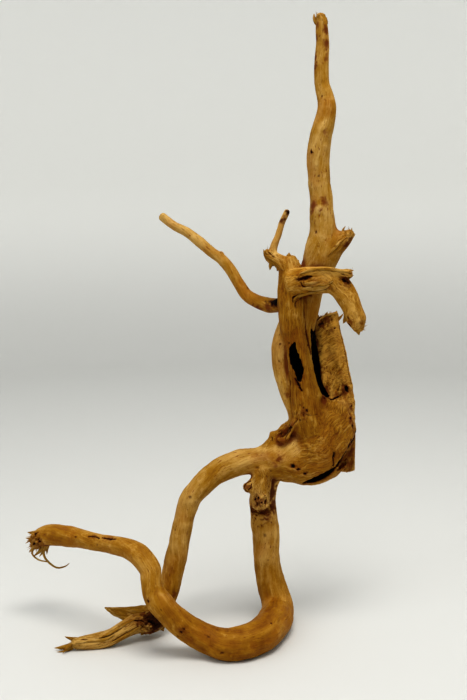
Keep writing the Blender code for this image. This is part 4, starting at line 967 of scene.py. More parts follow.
carved_normals = point_normals(carved_points, skin_faces)
# Painted shade: the less free room a few millimetres outwards, the darker and redder the place is painted.
recess = np.zeros(len(skin_points))
for reach, weight in ((1.5, 0.25), (3.0, 0.35), (6.0, 0.40)):
    free = field_at(carved_points + carved_normals * reach)
    recess += weight * np.clip((reach - free) / reach - 0.12, 0.0, 1.0)
recess = np.clip(recess * 1.6, 0.0, 1.0)
recess = np.maximum(recess, red_at)
# Painted shade between the folds of crumpled places, in red and in dark.
recess = np.maximum(recess, 0.9 * folded)
dark_and_shade = np.maximum(dark_and_shade, np.clip(folded * 1.6 - 0.75, 0.0, 0.85))

edges = np.vstack([skin_faces[:, [0, 1]], skin_faces[:, [1, 2]], skin_faces[:, [2, 0]]])
edges = np.unique(np.sort(edges, axis=1), axis=0)


def neighbours_mean(values):
    total = np.zeros_like(values)
    count = np.zeros(len(values))
    for a, b in ((0, 1), (1, 0)):
        np.add.at(total, edges[:, a], values[edges[:, b]])
        np.add.at(count, edges[:, a], 1.0)
    return total / (count[:, None] if values.ndim == 2 else count)


WEAR_GAIN = 3.2  # how fast a raised place turns pale
RELIEF_ROUNDS = 6  # neighbour rounds that smooth the lumps away
relief = carved.copy()
for _ in range(RELIEF_ROUNDS):
    relief = neighbours_mean(relief)
worn = neighbours_mean(np.clip((carved - relief) * WEAR_GAIN, -1.0, 1.0))
print("mean recess:", round(float(recess.mean()), 3))

# %% [markdown]
# No limb of a root has one colour. Each runs from paler to deeper wood in a few even steps, with paler and
# deeper patches on top: some are the wood's own, others painted highlights and painted shade. In the same way
# each has its own share of coarse grain and of warm, stained wood.

# %% Tones along the limbs
# The deep tones of back_wall, inner_wall and the top of the plank are painted shade, behind the trunk hole
# and under the burl.
TONES = {  # pale or deep, in even steps from the start to the end of each limb
    "upright": (0.62, 0.62, 0.62, 0.44), "front_strand": (0.34, 0.26), "left_lobe": (0.84, 0.72),
    "slab": (0.95, 0.88), "back_wall": (0.2, 0.2), "burl": (0.44, 0.38), "burl_foot": (0.38, 0.44),
    "plank": (0.2, 0.2, 0.65), "leg": (0.70, 0.72, 0.60, 0.95), "collar": (0.45, 0.42),
    "collar_knob": (0.55, 0.55),
    "stub": (0.50, 0.75), "stub_knob": (0.60, 0.65), "loop": (0.90, 0.60, 0.32, 0.30, 0.50, 0.52, 0.44),
    "heel": (0.36, 0.36), "left_branch": (0.45, 0.95), "branch_nub": (0.7, 0.7), "twig": (0.8, 0.95),
    "top_block": (0.55, 0.72), "block_hump": (0.6, 0.6), "curled_arm": (0.66, 0.62),
    "arm_ridge": (0.80, 0.92),
    "right_stub": (0.35, 0.6), "fold": (0.48, 0.45), "inner_wall": (0.3, 0.3),
}


def along_limbs(steps_of):
    """Values stepped along each limb, blended where limbs meet."""
    total = np.zeros(len(skin_points))
    for name, (index, depth, s, a, b) in limb_places.items():
        steps = steps_of.get(name, (0.5, 0.5))
        along = s / TREE[name].length[-1]
        total[index] += share_raw[name][index] * np.interp(along, np.linspace(0, 1, len(steps)), steps)
    return total / np.maximum(sum(share_raw.values()), 1e-6)


tone = along_limbs(TONES)
# Painted highlights and painted shade, with the wood's own paler and deeper patches, are added to the tone.
for x, y, z, radius, paler in TONE_AND_LIGHT_SPOTS:
    away = np.linalg.norm(skin_points - (np.array([x, y, z]) - MIDDLE), axis=1)
    tone += paler * np.exp(-((away / radius) ** 2))
SWIRL = {"burl": 0.35, "burl_foot": 0.35, "slab": 0.3, "collar": 0.8, "curled_arm": 0.5, "stub": 0.8}
swirl = np.full(len(skin_points), 0.12)
for name, amount in SWIRL.items():
    swirl = np.maximum(swirl, amount * share_raw[name] / np.maximum(sum(share_raw.values()), 1e-6))

COARSE = {  # how strongly the grain shows, stepped the same way
    "upright": (0.28, 0.28, 0.4), "front_strand": (0.7, 0.7), "left_lobe": (0.5, 0.55), "slab": (1.0, 1.0),
    "burl": (0.95, 0.95), "burl_foot": (0.9, 0.6), "leg": (0.3, 0.3, 0.4, 1.0), "collar": (0.9, 0.9),
    "stub": (0.9, 1.0), "loop": (0.28, 0.28, 0.36), "left_branch": (0.35, 0.25), "twig": (0.4, 0.3),
    "top_block": (0.7, 0.9), "curled_arm": (0.8, 0.6), "arm_ridge": (0.8, 0.9), "right_stub": (0.45, 0.7),
    "plank": (0.8, 0.9),
}
# Painted shade: the walls behind the trunk hole are darkened on the side that faces it.
hollow_wall_shade = (share_raw["inner_wall"] + share_raw["back_wall"]) / np.maximum(sum(share_raw.values()), 1e-6)
hollow_wall_shade *= np.clip(0.2 - normals[:, 1], 0.0, 1.0)  # only the side that faces the hollow
dark_and_shade = np.maximum(dark_and_shade, np.clip(hollow_wall_shade * 2.0, 0.0, 1.0))
coarse = along_limbs(COARSE)
WARM = {  # how much warmer than the rest, where water stained the wood
    "slab": (0.75, 0.6), "plank": (0.45, 0.35), "arm_ridge": (0.55, 0.5), "curled_arm": (0.5, 0.35),
    "loop": (0.3, 0.3, 0.4, 0.4, 0.3, 0.35, 0.4), "left_branch": (0.4, 0.0), "twig": (0.1, 0.0),
    "upright": (0.15, 0.05, 0.0, 0.1), "left_lobe": (0.2, 0.3), "right_stub": (0.15, 0.15),
    "top_block": (0.2, 0.1), "block_hump": (0.15, 0.15), "leg": (0.2, 0.15, 0.3, 0.2),
}
warm = along_limbs({name: WARM.get(name, (0.3, 0.3)) for name in TREE})
coarse = np.clip(coarse + 0.4 * np.abs(crumple), 0.0, 1.0)

# %% [markdown]
# The carved skin becomes one closed mesh. All that was worked out for each point goes with it as attributes,
# and the material reads those, so the finish follows the wood wherever the piece is used.

# %% Make the carved skin a mesh with its attributes
def mesh_from(name, points_mm, faces):
    mesh = bpy.data.meshes.new(name)
    mesh.vertices.add(len(points_mm))
    mesh.vertices.foreach_set("co", (points_mm * MM).astype(np.float32).ravel())
    sides = faces.shape[1]
    mesh.loops.add(faces.size)
    mesh.loops.foreach_set("vertex_index", faces.astype(np.int32).ravel())
    mesh.polygons.add(len(faces))
    mesh.polygons.foreach_set("loop_start", np.arange(0, faces.size, sides, dtype=np.int32))
    mesh.polygons.foreach_set("use_smooth", np.ones(len(faces), bool))
    mesh.update(calc_edges=True)
    obj = bpy.data.objects.new(name, mesh)
    bpy.context.scene.collection.objects.link(obj)
    return obj


def set_values(mesh, name, values):
    kind = "FLOAT_VECTOR" if values.ndim == 2 else "FLOAT"
    attribute = mesh.attributes.new(name, kind, "POINT")
    attribute.data.foreach_set("vector" if values.ndim == 2 else "value", values.astype(np.float32).ravel())


def set_wood_values(mesh, used=slice(None)):
    """Gives a mesh the grain and wear of the skin points it is made from."""
    for layer in range(LAYERS):
        set_values(mesh, f"grain_{layer}", grain[layer][used])
        set_values(mesh, f"share_{layer}", share[layer][used])
    wear = {"dark": dark_and_shade, "swirl": swirl, "recess": recess, "worn": worn, "tone": tone, "coarse": coarse}
    for name, values in {**wear, "warm": warm}.items():
        set_values(mesh, name, values[used])


root_wood = mesh_from("root_wood", carved_points, skin_faces)
set_wood_values(root_wood.data)
print("root_wood: triangles", len(skin_faces))

# %% [markdown]
# The finish of moor wood: a golden to orange brown, paler where handling and water wore the ridges, and
# darker and redder in the hollows, partly as the red of stains and partly as painted shade, down to black
# deep inside.
# Long streaks follow the grain, with stains across them, and small dark specks.

# %% Node helpers
MIX_A, MIX_B, MIX_RESULT = 6, 7, 2  # the colour sockets of a mix node


class Nodes:
    """Short ways to add shader nodes and join them."""

    def __init__(self, material):
        self.tree = material.node_tree

    def add(self, kind, inputs=None, **settings):
        node = self.tree.nodes.new(kind)
        for key, value in settings.items():
            setattr(node, key, value)
        for key, value in (inputs or {}).items():
            self.plug(value, node.inputs[key])
        return node

    def plug(self, value, socket):
        if isinstance(value, bpy.types.NodeSocket):
            self.tree.links.new(value, socket)
        else:
            socket.default_value = value

    def math(self, operation, a, b=0.0, c=0.0, clamp=False):
        return self.add("ShaderNodeMath", {0: a, 1: b, 2: c}, operation=operation, use_clamp=clamp).outputs[0]

    def value(self, name):
        return self.add("ShaderNodeAttribute", attribute_name=name).outputs["Fac"]

    def vector(self, name):
        return self.add("ShaderNodeAttribute", attribute_name=name).outputs["Vector"]

    def scaled(self, vector, scale):
        return self.add("ShaderNodeVectorMath", {0: vector, 1: scale}, operation="MULTIPLY").outputs[0]

    def plus(self, a, b):
        return self.add("ShaderNodeVectorMath", {0: a, 1: b}, operation="ADD").outputs[0]

    def noise(self, vector, scale=1.0, detail=2.0, roughness=0.5, warp=0.0):
        values = {"Vector": vector, "Scale": scale, "Detail": detail}
        values.update({"Roughness": roughness, "Distortion": warp})
        return self.add("ShaderNodeTexNoise", values).outputs["Fac"]

    def fit(self, value, low, high, to_low=0.0, to_high=1.0, smooth=True):
        values = {"Value": value, "From Min": low, "From Max": high, "To Min": to_low, "To Max": to_high}
        kind = "SMOOTHSTEP" if smooth else "LINEAR"
        return self.add("ShaderNodeMapRange", values, interpolation_type=kind).outputs["Result"]

    def mix(self, share, a, b, blend="MIX"):
        node = self.add("ShaderNodeMix", data_type="RGBA", blend_type=blend)
        self.plug(share, node.inputs[0])
        self.plug(a, node.inputs[MIX_A])
        self.plug(b, node.inputs[MIX_B])
        return node.outputs[MIX_RESULT]


# %% The wood
def grain_streaks(n, scale, detail, roughness, drift):
    """One streaky noise over all grain layers, blended by their shares."""
    total = None
    for layer in range(LAYERS):
        place = n.scaled(n.plus(n.vector(f"grain_{layer}"), drift), scale)
        part = n.math("MULTIPLY", n.noise(place, 1.0, detail, roughness), n.value(f"share_{layer}"))
        total = part if total is None else n.math("ADD", total, part)
    return total


DEEP = (0.190, 0.070, 0.001, 1.0)
GOLD = (0.330, 0.172, 0.013, 1.0)
PALE = (0.54, 0.355, 0.125, 1.0)
RED = (0.165, 0.034, 0.003, 1.0)
ORANGE = (0.330, 0.118, 0.006, 1.0)
# The two darkest colours paint the dark marks and the painted shade in cracks, folds and hollows, down to
# black.
MAROON = (0.020, 0.004, 0.001, 1.0)
SHADOW_BLACK = (0.003, 0.001, 0.001, 1.0)
WARMER = (1.12, 0.90, 0.25, 1.0)  # multiplies the colour where the wood is warm
DRY_SHINE = 0.16  # dry wood mirrors little
BUMP_STRENGTH, BUMP_METRES = 0.85, 0.0026

wood = bpy.data.materials.new("weathered_wood")
wood.use_nodes = True
n = Nodes(wood)
shader = wood.node_tree.nodes["Principled BSDF"]
place_mm = n.scaled(n.add("ShaderNodeTexCoord").outputs["Object"], (1000.0, 1000.0, 1000.0))
drift_place = n.scaled(place_mm, (0.05, 0.05, 0.05))
drift_noise = n.add("ShaderNodeTexNoise", {"Vector": drift_place, "Scale": 1.0, "Detail": 1.0})
centred = n.plus(drift_noise.outputs["Color"], (-0.5, -0.5, -0.5))
drift_by = n.math("MULTIPLY", n.value("swirl"), 34.0)
drift = n.add("ShaderNodeVectorMath", {0: centred, 3: drift_by}, operation="SCALE").outputs[0]

broad = grain_streaks(n, (0.020, 0.13, 0.13), 2.0, 0.55, drift)
streak = grain_streaks(n, (0.036, 0.42, 0.42), 3.0, 0.62, drift)
fibre = grain_streaks(n, (0.08, 1.2, 1.2), 2.0, 0.6, drift)
blotch = n.noise(n.scaled(place_mm, (0.075, 0.075, 0.075)), 1.0, 4.0, 0.62)
scrape = n.noise(n.scaled(place_mm, (0.20, 0.20, 0.16)), 1.0, 3.0, 0.6)
dash = grain_streaks(n, (0.22, 1.1, 1.1), 1.0, 0.5, drift)
hue = n.noise(n.scaled(place_mm, (0.035, 0.035, 0.035)), 1.0, 2.0, 0.6)

lightness = n.math("ADD", n.value("tone"), n.fit(broad, 0.3, 0.7, -0.14, 0.14, False))
lightness = n.math("ADD", lightness, n.fit(blotch, 0.3, 0.7, -0.20, 0.20, False))
marked = n.math("MULTIPLY_ADD", n.value("coarse"), 0.85, 0.15)  # how far the grain shows here
lines = n.math("ADD", n.fit(streak, 0.3, 0.7, -0.24, 0.24, False), n.fit(fibre, 0.3, 0.7, -0.18, 0.18, False))
lightness = n.math("MULTIPLY_ADD", lines, marked, lightness)
off_line = n.math("ABSOLUTE", n.math("SUBTRACT", streak, 0.5))
# Thin dark lines run between the streaks.
thread = n.math("MULTIPLY", n.fit(off_line, 0.004, 0.030, 1.0, 0.0), marked)
lightness = n.math("MULTIPLY_ADD", thread, -0.22, lightness)
lightness = n.math("ADD", lightness, n.fit(scrape, 0.56, 0.72, 0.0, 0.22))
lightness = n.math("ADD", lightness, n.math("MULTIPLY", n.value("worn"), 0.20))
ramp = n.add("ShaderNodeValToRGB", {"Fac": lightness})
ramp.color_ramp.elements[0].position = 0.0
ramp.color_ramp.elements[0].color = DEEP
ramp.color_ramp.elements[1].position = 1.0
ramp.color_ramp.elements[1].color = PALE
middle = ramp.color_ramp.elements.new(0.45)
middle.color = GOLD
colour = ramp.outputs["Color"]
colour = n.mix(n.value("warm"), colour, WARMER, "MULTIPLY")
# Painted shade in recesses and folds, with the red of stains, turns the colour red-brown.
colour = n.mix(n.fit(n.value("recess"), 0.05, 0.80, 0.0, 0.9), colour, RED)
colour = n.mix(n.fit(hue, 0.50, 0.68, 0.0, 0.32), colour, ORANGE)
colour = n.mix(n.fit(dash, 0.66, 0.76, 0.0, 0.75), colour, RED)
colour = n.mix(n.math("MULTIPLY", thread, 0.32), colour, RED)
# The dark marks, and the painted shade in cracks, folds and hollows, go to maroon and then to black.
colour = n.mix(n.value("dark"), colour, MAROON)
colour = n.mix(n.fit(n.value("dark"), 0.7, 0.95), colour, SHADOW_BLACK)
n.plug(colour, shader.inputs["Base Color"])

rough = n.math("ADD", n.fit(streak, 0.3, 0.7, 0.50, 0.68, False), n.math("MULTIPLY", n.value("dark"), 0.3))
n.plug(rough, shader.inputs["Roughness"])
shader.inputs["Specular IOR Level"].default_value = DRY_SHINE
height = n.math("ADD", n.math("MULTIPLY", streak, 0.5), n.math("MULTIPLY", fibre, 0.35))
height = n.math("ADD", height, n.fit(dash, 0.62, 0.76, 0.0, -0.25))
height = n.math("MULTIPLY_ADD", thread, -0.12, height)
height = n.math("MULTIPLY", height, marked)
bump = n.add("ShaderNodeBump", {"Height": height, "Strength": BUMP_STRENGTH, "Distance": BUMP_METRES})
n.plug(bump.outputs["Normal"], shader.inputs["Normal"])

root_wood.data.materials.append(wood)
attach(root_wood, "root")
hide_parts("moor_wood_root")

# %% [markdown]
# Where the root broke, its fibres tore into splinters. The larger ones are listed one by one, each from a
# place inside the wood to its tip, and they are flat, bent and uneven along their length, as torn wood is.
# They read the same material through the same attributes.

# %% The larger splinters
SPLINTERS = [  # root, tip, half width, half thickness, bend
    ((110, 46, 509), (105.0, 46, 518.5), 2.2, 1.5, 0.16), ((111, 45, 506),
    (110.5, 44, 518.5), 3.2, 2.0, 0.05),
    ((113, 45, 508), (114.5, 46, 516), 2.4, 1.6, -0.08), ((131, 32, 335),
    (132.2, 31, 344.6), 1.4, 0.9, 0.18),
    ((132, 32, 335), (137.4, 33, 343.2), 1.5, 1.0, -0.16), ((130, 32, 334), (140, 32, 338), 4.2, 3.0, 0.04),
    ((72, 22, 315), (64.8, 21, 326), 2.2, 1.6, 0.12), ((74, 21, 317), (70.2, 19, 309), 2.4, 1.5, -0.12),
    ((77, 22, 316), (76, 20, 308), 2.6, 1.6, 0.10), ((85, 22, 310), (86, 22, 323), 5.0, 4.0, 0.0),
    ((87, 22, 308), (94, 22, 317), 4.0, 4.0, 0.0), ((74, 22, 316), (67, 22, 319), 4.0, 3.0, 0.0),
    ((117, 43, 261), (131, 42, 271), 2.0, 1.2, -0.10), ((112, 43, 259), (109, 42, 270), 3.0, 2.0, 0.08),
    ((117, 43, 259), (117, 42, 272), 4.0, 2.2, 0.05), ((122, 43, 259), (125, 43, 273), 3.4, 2.0, -0.06),
    ((123, 9, 304), (139, 5, 309), 3.4, 2.0, 0.05), ((125, 8, 302), (139, 4, 305), 3.0, 1.8, -0.05),
    ((138, 3, 274), (144, 2, 257), 5.0, 3.6, 0.04), ((138, 3, 277), (149, 4, 269), 4.6, 3.0, -0.04),
    ((135, 5, 276), (131, 5, 266), 2.8, 2.0, 0.06), ((-30, -20, 19.5), (-68, -22, 24.8), 7.4, 3.4, 0.06),
    ((-32, -21, 14.5), (-54, -24, 18.5), 5.4, 3.2, 0.04), ((-30, -16, 12), (-38, -19, 0.8), 4.0, 2.6, 0.05),
    ((-27, -13, 12), (-31, -17, 0.8), 4.4, 3.0, -0.05), ((-25, -12, 13), (-19.5, -14, 3), 4.8, 3.2, 0.04),
    ((-80, -47, 5.6), (-102, -54, 2.6), 3.0, 2.0, 0.05), ((-86, -50, 5.4),
    (-93, -60, 1.6), 1.8, 1.2, -0.12),
    ((-78, -46, 7), (-95, -48, 10), 2.4, 1.4, 0.06), ((-84, -49, 5.6), (-99, -57, 0.9), 1.6, 1.0, 0.14),
    ((-128, 9, 77), (-151, 15, 70), 2.6, 1.6, 0.08), ((-127, 8, 76), (-147, 12, 63), 2.8, 1.8, 0.05),
    ((-126, 8, 75), (-146, 9, 59), 2.3, 1.6, -0.06), ((-126, 8, 75), (-141, 6, 56.5), 2.4, 1.6, 0.08),
    ((-125, 10, 75), (-136, 8, 56), 2.4, 1.6, 0.05), ((-124, 9, 75), (-130, 11, 57), 2.2, 1.4, -0.08),
    ((-127, 10, 79), (-149, 15, 75.5), 3.4, 2.0, 0.06), ((-127, 9, 76), (-150, 12, 66), 2.0, 1.2, -0.08),
    ((-126, 6, 76), (-143, 4, 61), 2.0, 1.3, -0.1),
]
STRANDS = [  # rows of x, y, z, half width, half thickness
    [(-30, -20, 20.5, 7.4, 3.4), (-38, -20, 21.2, 6.0, 3.2), (-46, -21, 22.4, 4.2, 2.4),
     (-53, -21.5, 23.7, 2.4, 1.5), (-60, -22, 24.7, 1.1, 0.8), (-68, -22, 25.2, 0.4, 0.3)],
    [(-129, 9, 71, 1.7, 1.3), (-132, 8, 60, 1.2, 0.8), (-129, 8, 52.5, 1.1, 0.7), (-121, 9, 46, 0.9, 0.6),
     (-113, 9, 47.5, 0.6, 0.5), (-109, 9, 50.5, 0.25, 0.25)],
    [(-141, 10, 66, 1.4, 0.9), (-143, 9, 58, 0.9, 0.6), (-137, 8, 53, 0.8, 0.5), (-129, 8, 51.5, 0.5, 0.4)],
]
FLAKES = [  # x and z along the flake in the front view, half width, half thickness, lift of its ends
    ([(97.5, 294.2), (103, 294.4), (110, 294.8), (116, 295.8), (120, 297.2)], 2.3, 0.8, 0.5),
    ([(90.5, 283.5), (92.5, 286.6), (98, 289.0), (105, 290.6), (112, 292.0), (117, 293.4)], 1.4, 0.7, 0.5),
    ([(110, 298.0), (115, 297.4), (119, 298.4), (123, 300.6)], 1.2, 0.6, 0.6),
    ([(100, 298.6), (106, 299.0), (112, 300.4)], 1.3, 0.6, 0.3),
    ([(96, 306.6), (106, 309.6), (118, 310.2), (128, 308.8), (137, 307.6)], 1.5, 0.8, 0.4),
    ([(66.5, 321.5), (71, 319.0), (77, 314.6), (82, 309.0)], 1.6, 0.8, 0.3),
    ([(131, 334.5), (127, 330.5), (122, 325.0), (118, 320.0)], 1.5, 0.7, 0.2),
    ([(109.5, 266.0), (114, 268.6), (120, 270.2), (126, 271.0)], 1.0, 0.8, 0.8),
    ([(-66, 10.2), (-56, 13.4), (-46, 18.6), (-38, 21.0)], 1.6, 0.8, 0.4),
    ([(-84, 7.0), (-72, 8.6), (-62, 8.6), (-54, 11.6)], 1.5, 0.8, 0.5),
    ([(-58, 4.8), (-48, 8.4), (-40, 12.2), (-34, 14.6)], 1.4, 0.7, 0.3),
]


def front_of_skin(x, z):
    """How far back the front of the carved skin lies at a place of the front view, in table millimetres."""
    away = np.hypot(carved_points[:, 0] + MIDDLE[0] - x, carved_points[:, 2] + MIDDLE[2] - z)
    near = away < max(1.3, float(away.min()) + 0.3)
    return float(carved_points[near, 1].min() + MIDDLE[1])


class SliverBundle:
    """Collects closed slivers and their grain places, to become one mesh."""

    def __init__(self):
        self.points, self.faces, self.grain, self.tone, self.recess, self.count = [], [], [], [], [], 0

    def add(self, rows, sides, tone, seed, ragged=0.16, root_shade=0.6):
        """rows: x, y, z, half width, half thickness in millimetres; the last row is the tip."""
        limb = Limb(rows, 3)
        n = len(limb.centre)
        turn = np.linspace(0, 2 * math.pi, sides, endpoint=False)
        s = np.repeat(limb.length, sides)
        turns = np.tile(turn, n)
        spots = np.stack([s / 2.2, turns * 1.1, turns * 0 + seed * 7.3], 1)
        wobble = 1.0 + ragged * lattice_noise(spots, seed)
        a = (limb.wide[:, None] * np.cos(turn)).ravel() * wobble
        b = (limb.deep_by[:, None] * np.sin(turn)).ravel() * wobble
        ring = np.repeat(limb.centre, sides, 0) + np.repeat(limb.across, sides, 0) * a[:, None]
        ring += np.repeat(limb.deep, sides, 0) * b[:, None]
        ends = np.stack([limb.centre[0] - limb.along[0] * 0.2, limb.centre[-1] + limb.along[-1] * 0.3])
        base = self.count
        faces = []
        for i in range(n - 1):
            for k in range(sides):
                p, q = base + i * sides + k, base + i * sides + (k + 1) % sides
                faces.append((p, q, q + sides))
                faces.append((p, q + sides, p + sides))
        for k in range(sides):
            faces.append((base + (k + 1) % sides, base + k, base + n * sides))
            last = base + (n - 1) * sides
            faces.append((last + k, last + (k + 1) % sides, base + n * sides + 1))
        self.points.append(np.vstack([ring, ends]))
        self.faces += faces
        along = np.concatenate([s, [0.0, limb.length[-1]]]) + seed * 37.0
        self.grain.append(np.stack([along, np.append(a, [0, 0]), np.append(b, [0, 0])], 1))
        share_along = np.concatenate([s, [0.0, limb.length[-1]]]) / limb.length[-1]
        self.tone.append(np.full(len(along), tone))
        # Painted shade, darkest where the sliver goes into the wood.
        self.recess.append(root_shade * np.clip(1 - share_along * 1.8, 0, 1))
        self.count += n * sides + 2

    def mesh(self, name):
        obj = mesh_from(name, np.vstack(self.points), np.array(self.faces))
        n = self.count
        for layer in range(LAYERS):
            set_values(obj.data, f"grain_{layer}", np.vstack(self.grain) if layer == 0 else np.zeros((n, 3)))
            set_values(obj.data, f"share_{layer}", np.full(n, 1.0 if layer == 0 else 0.0))
        set_values(obj.data, "dark", np.zeros(n))
        set_values(obj.data, "swirl", np.full(n, 0.1))
        set_values(obj.data, "recess", np.concatenate(self.recess))
        set_values(obj.data, "worn", np.full(n, 0.1))
        set_values(obj.data, "tone", np.concatenate(self.tone))
        set_values(obj.data, "coarse", np.full(n, 0.8))
        obj.data.materials.append(wood)
        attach(obj, "root")
        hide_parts("moor_wood_root")
        print(name, "triangles:", len(self.faces))
        return obj


def sliver_rows(root, tip, width, thickness, bend, heel=-0.10):
    """Five rows from a sunk root to a tip, bent sideways by a share of the length."""
    root, tip = np.array(root, float), np.array(tip, float)
    length = np.linalg.norm(tip - root)
    sideways = unit(np.cross(tip - root, (0.0, 1.0, 0.0)))
    rows = []
    for t, size in ((heel, 0.8), (0.0, 1.0), (0.35, 0.92), (0.68, 0.62), (0.88, 0.32), (1.0, 0.06)):
        arch = bend * length * math.sin(math.pi * np.clip(t, 0, 1))
        rows.append((*(root + (tip - root) * t + sideways * arch), width * size, thickness * size))
    return rows


def lift_off_floor(mesh, gap=0.0008):
    """Bends whatever would pass through the floor so that it lies on it, in metres."""
    points = np.empty(len(mesh.vertices) * 3, np.float32)
    mesh.vertices.foreach_get("co", points)
    points = points.reshape(-1, 3)
    low = points[:, 2] < gap
    points[low, 2] = gap * np.exp((points[low, 2] - gap) / gap)
    mesh.vertices.foreach_set("co", points.ravel())
    mesh.update()
    return int(low.sum())


splinters = SliverBundle()
for number, (root, tip, width, thickness, bend) in enumerate(SPLINTERS):
    splinters.add(sliver_rows(root, tip, width, thickness, bend), 8, 0.5, number + 1)
for number, rows in enumerate(STRANDS):
    splinters.add(rows, 8, 0.55, 60 + number, 0.12, 0.2)
for number, (line, width, thickness, lift) in enumerate(FLAKES):
    count = len(line)
    rows = []
    for k, (x, z) in enumerate(line):
        end = abs(2 * k / (count - 1) - 1)
        size = 1.0 - 0.75 * end ** 2
        back = thickness * 0.35 - lift * end
        rows.append((x, front_of_skin(x, z) + back, z, width * size, thickness * (0.6 + 0.4 * size)))
    splinters.add(rows, 8, 0.62, 90 + number, 0.22, 0.0)
splinter_piece = splinters.mesh("splinters")
print("splinter points lifted off the floor:", lift_off_floor(splinter_piece.data))

# %% [markdown]
# Finer than those are the loose fibres on every torn end. They are too many to list, so a small Geometry
# Nodes tree scatters them over the torn faces: each fibre is a thin bent cone that roots in the wood, leans
# the way its end was torn, and takes its colour from the place where it roots.

# %% The torn faces that carry fibres
TORN = [  # x, y, z, radius, the way the fibres lean, fibres for each square centimetre, length
    (-139, 9, 69, 11.0, (-0.7, 0.12, -0.8), 24, 7.0), (110, 45, 513, 6.0, (-0.1, 0.0, 1.0), 12, 3.0),
    (136, 31, 338, 6.0, (0.5, 0.0, 0.8), 16, 3.5), (136, 1, 307, 5.0, (1.0, -0.1, 0.15), 18, 3.0),
    (144, 2, 264, 6.0, (0.5, -0.1, -0.9), 10, 2.4), (68, 21, 322, 7.0, (-0.6, -0.1, 0.5), 8, 2.6),
    (72, 20, 312, 6.0, (-0.4, -0.1, -0.9), 12, 3.0), (117, 42, 270, 8.5, (0.2, -0.2, 1.0), 9, 2.4),
    (62, 8, 109, 8.0, (0.1, -0.5, -0.9), 10, 2.2), (-29, -18, 7, 9.0, (-0.3, -0.3, -0.5), 10, 2.6),
    (-33, -22, 22, 8.0, (-1.0, -0.1, 0.1), 6, 3.0), (-88, -50, 5, 7.0, (-1.0, -0.4, 0.0), 14, 4.0),
    (51, 9, 125, 6.0, (-0.9, -0.4, 0.0), 6, 1.8), (137, 40, 133, 7.0, (0.4, 0.0, -0.9), 6, 1.8),
]
centres = carved_points[skin_faces].mean(1)
face_normals = unit(np.cross(carved_points[skin_faces[:, 1]] - carved_points[skin_faces[:, 0]],
                             carved_points[skin_faces[:, 2]] - carved_points[skin_faces[:, 0]]))
torn_lean = np.zeros((len(skin_points), 3))
torn_many, torn_long = np.zeros((2, len(skin_points)))
torn_faces = np.zeros(len(skin_faces), bool)
for x, y, z, radius, lean, many, longest in TORN:
    place = np.array([x, y, z]) - MIDDLE
    lean = unit(np.array([lean], float))[0]
    inside = (np.linalg.norm(centres - place, axis=1) < radius) & (face_normals @ lean > -0.1)
    torn_faces |= inside
    torn_lean[np.unique(skin_faces[inside])] = lean
    torn_many[np.unique(skin_faces[inside])] = many * 1e4
    torn_long[np.unique(skin_faces[inside])] = longest * MM
used, renumbered = np.unique(skin_faces[torn_faces], return_inverse=True)
torn_patch = mesh_from("torn_patch", carved_points[used], renumbered.reshape(-1, 3))
set_values(torn_patch.data, "lean", torn_lean[used])
set_values(torn_patch.data, "many", torn_many[used])
set_values(torn_patch.data, "long", torn_long[used])
set_wood_values(torn_patch.data, used)
print("torn faces:", int(torn_faces.sum()))

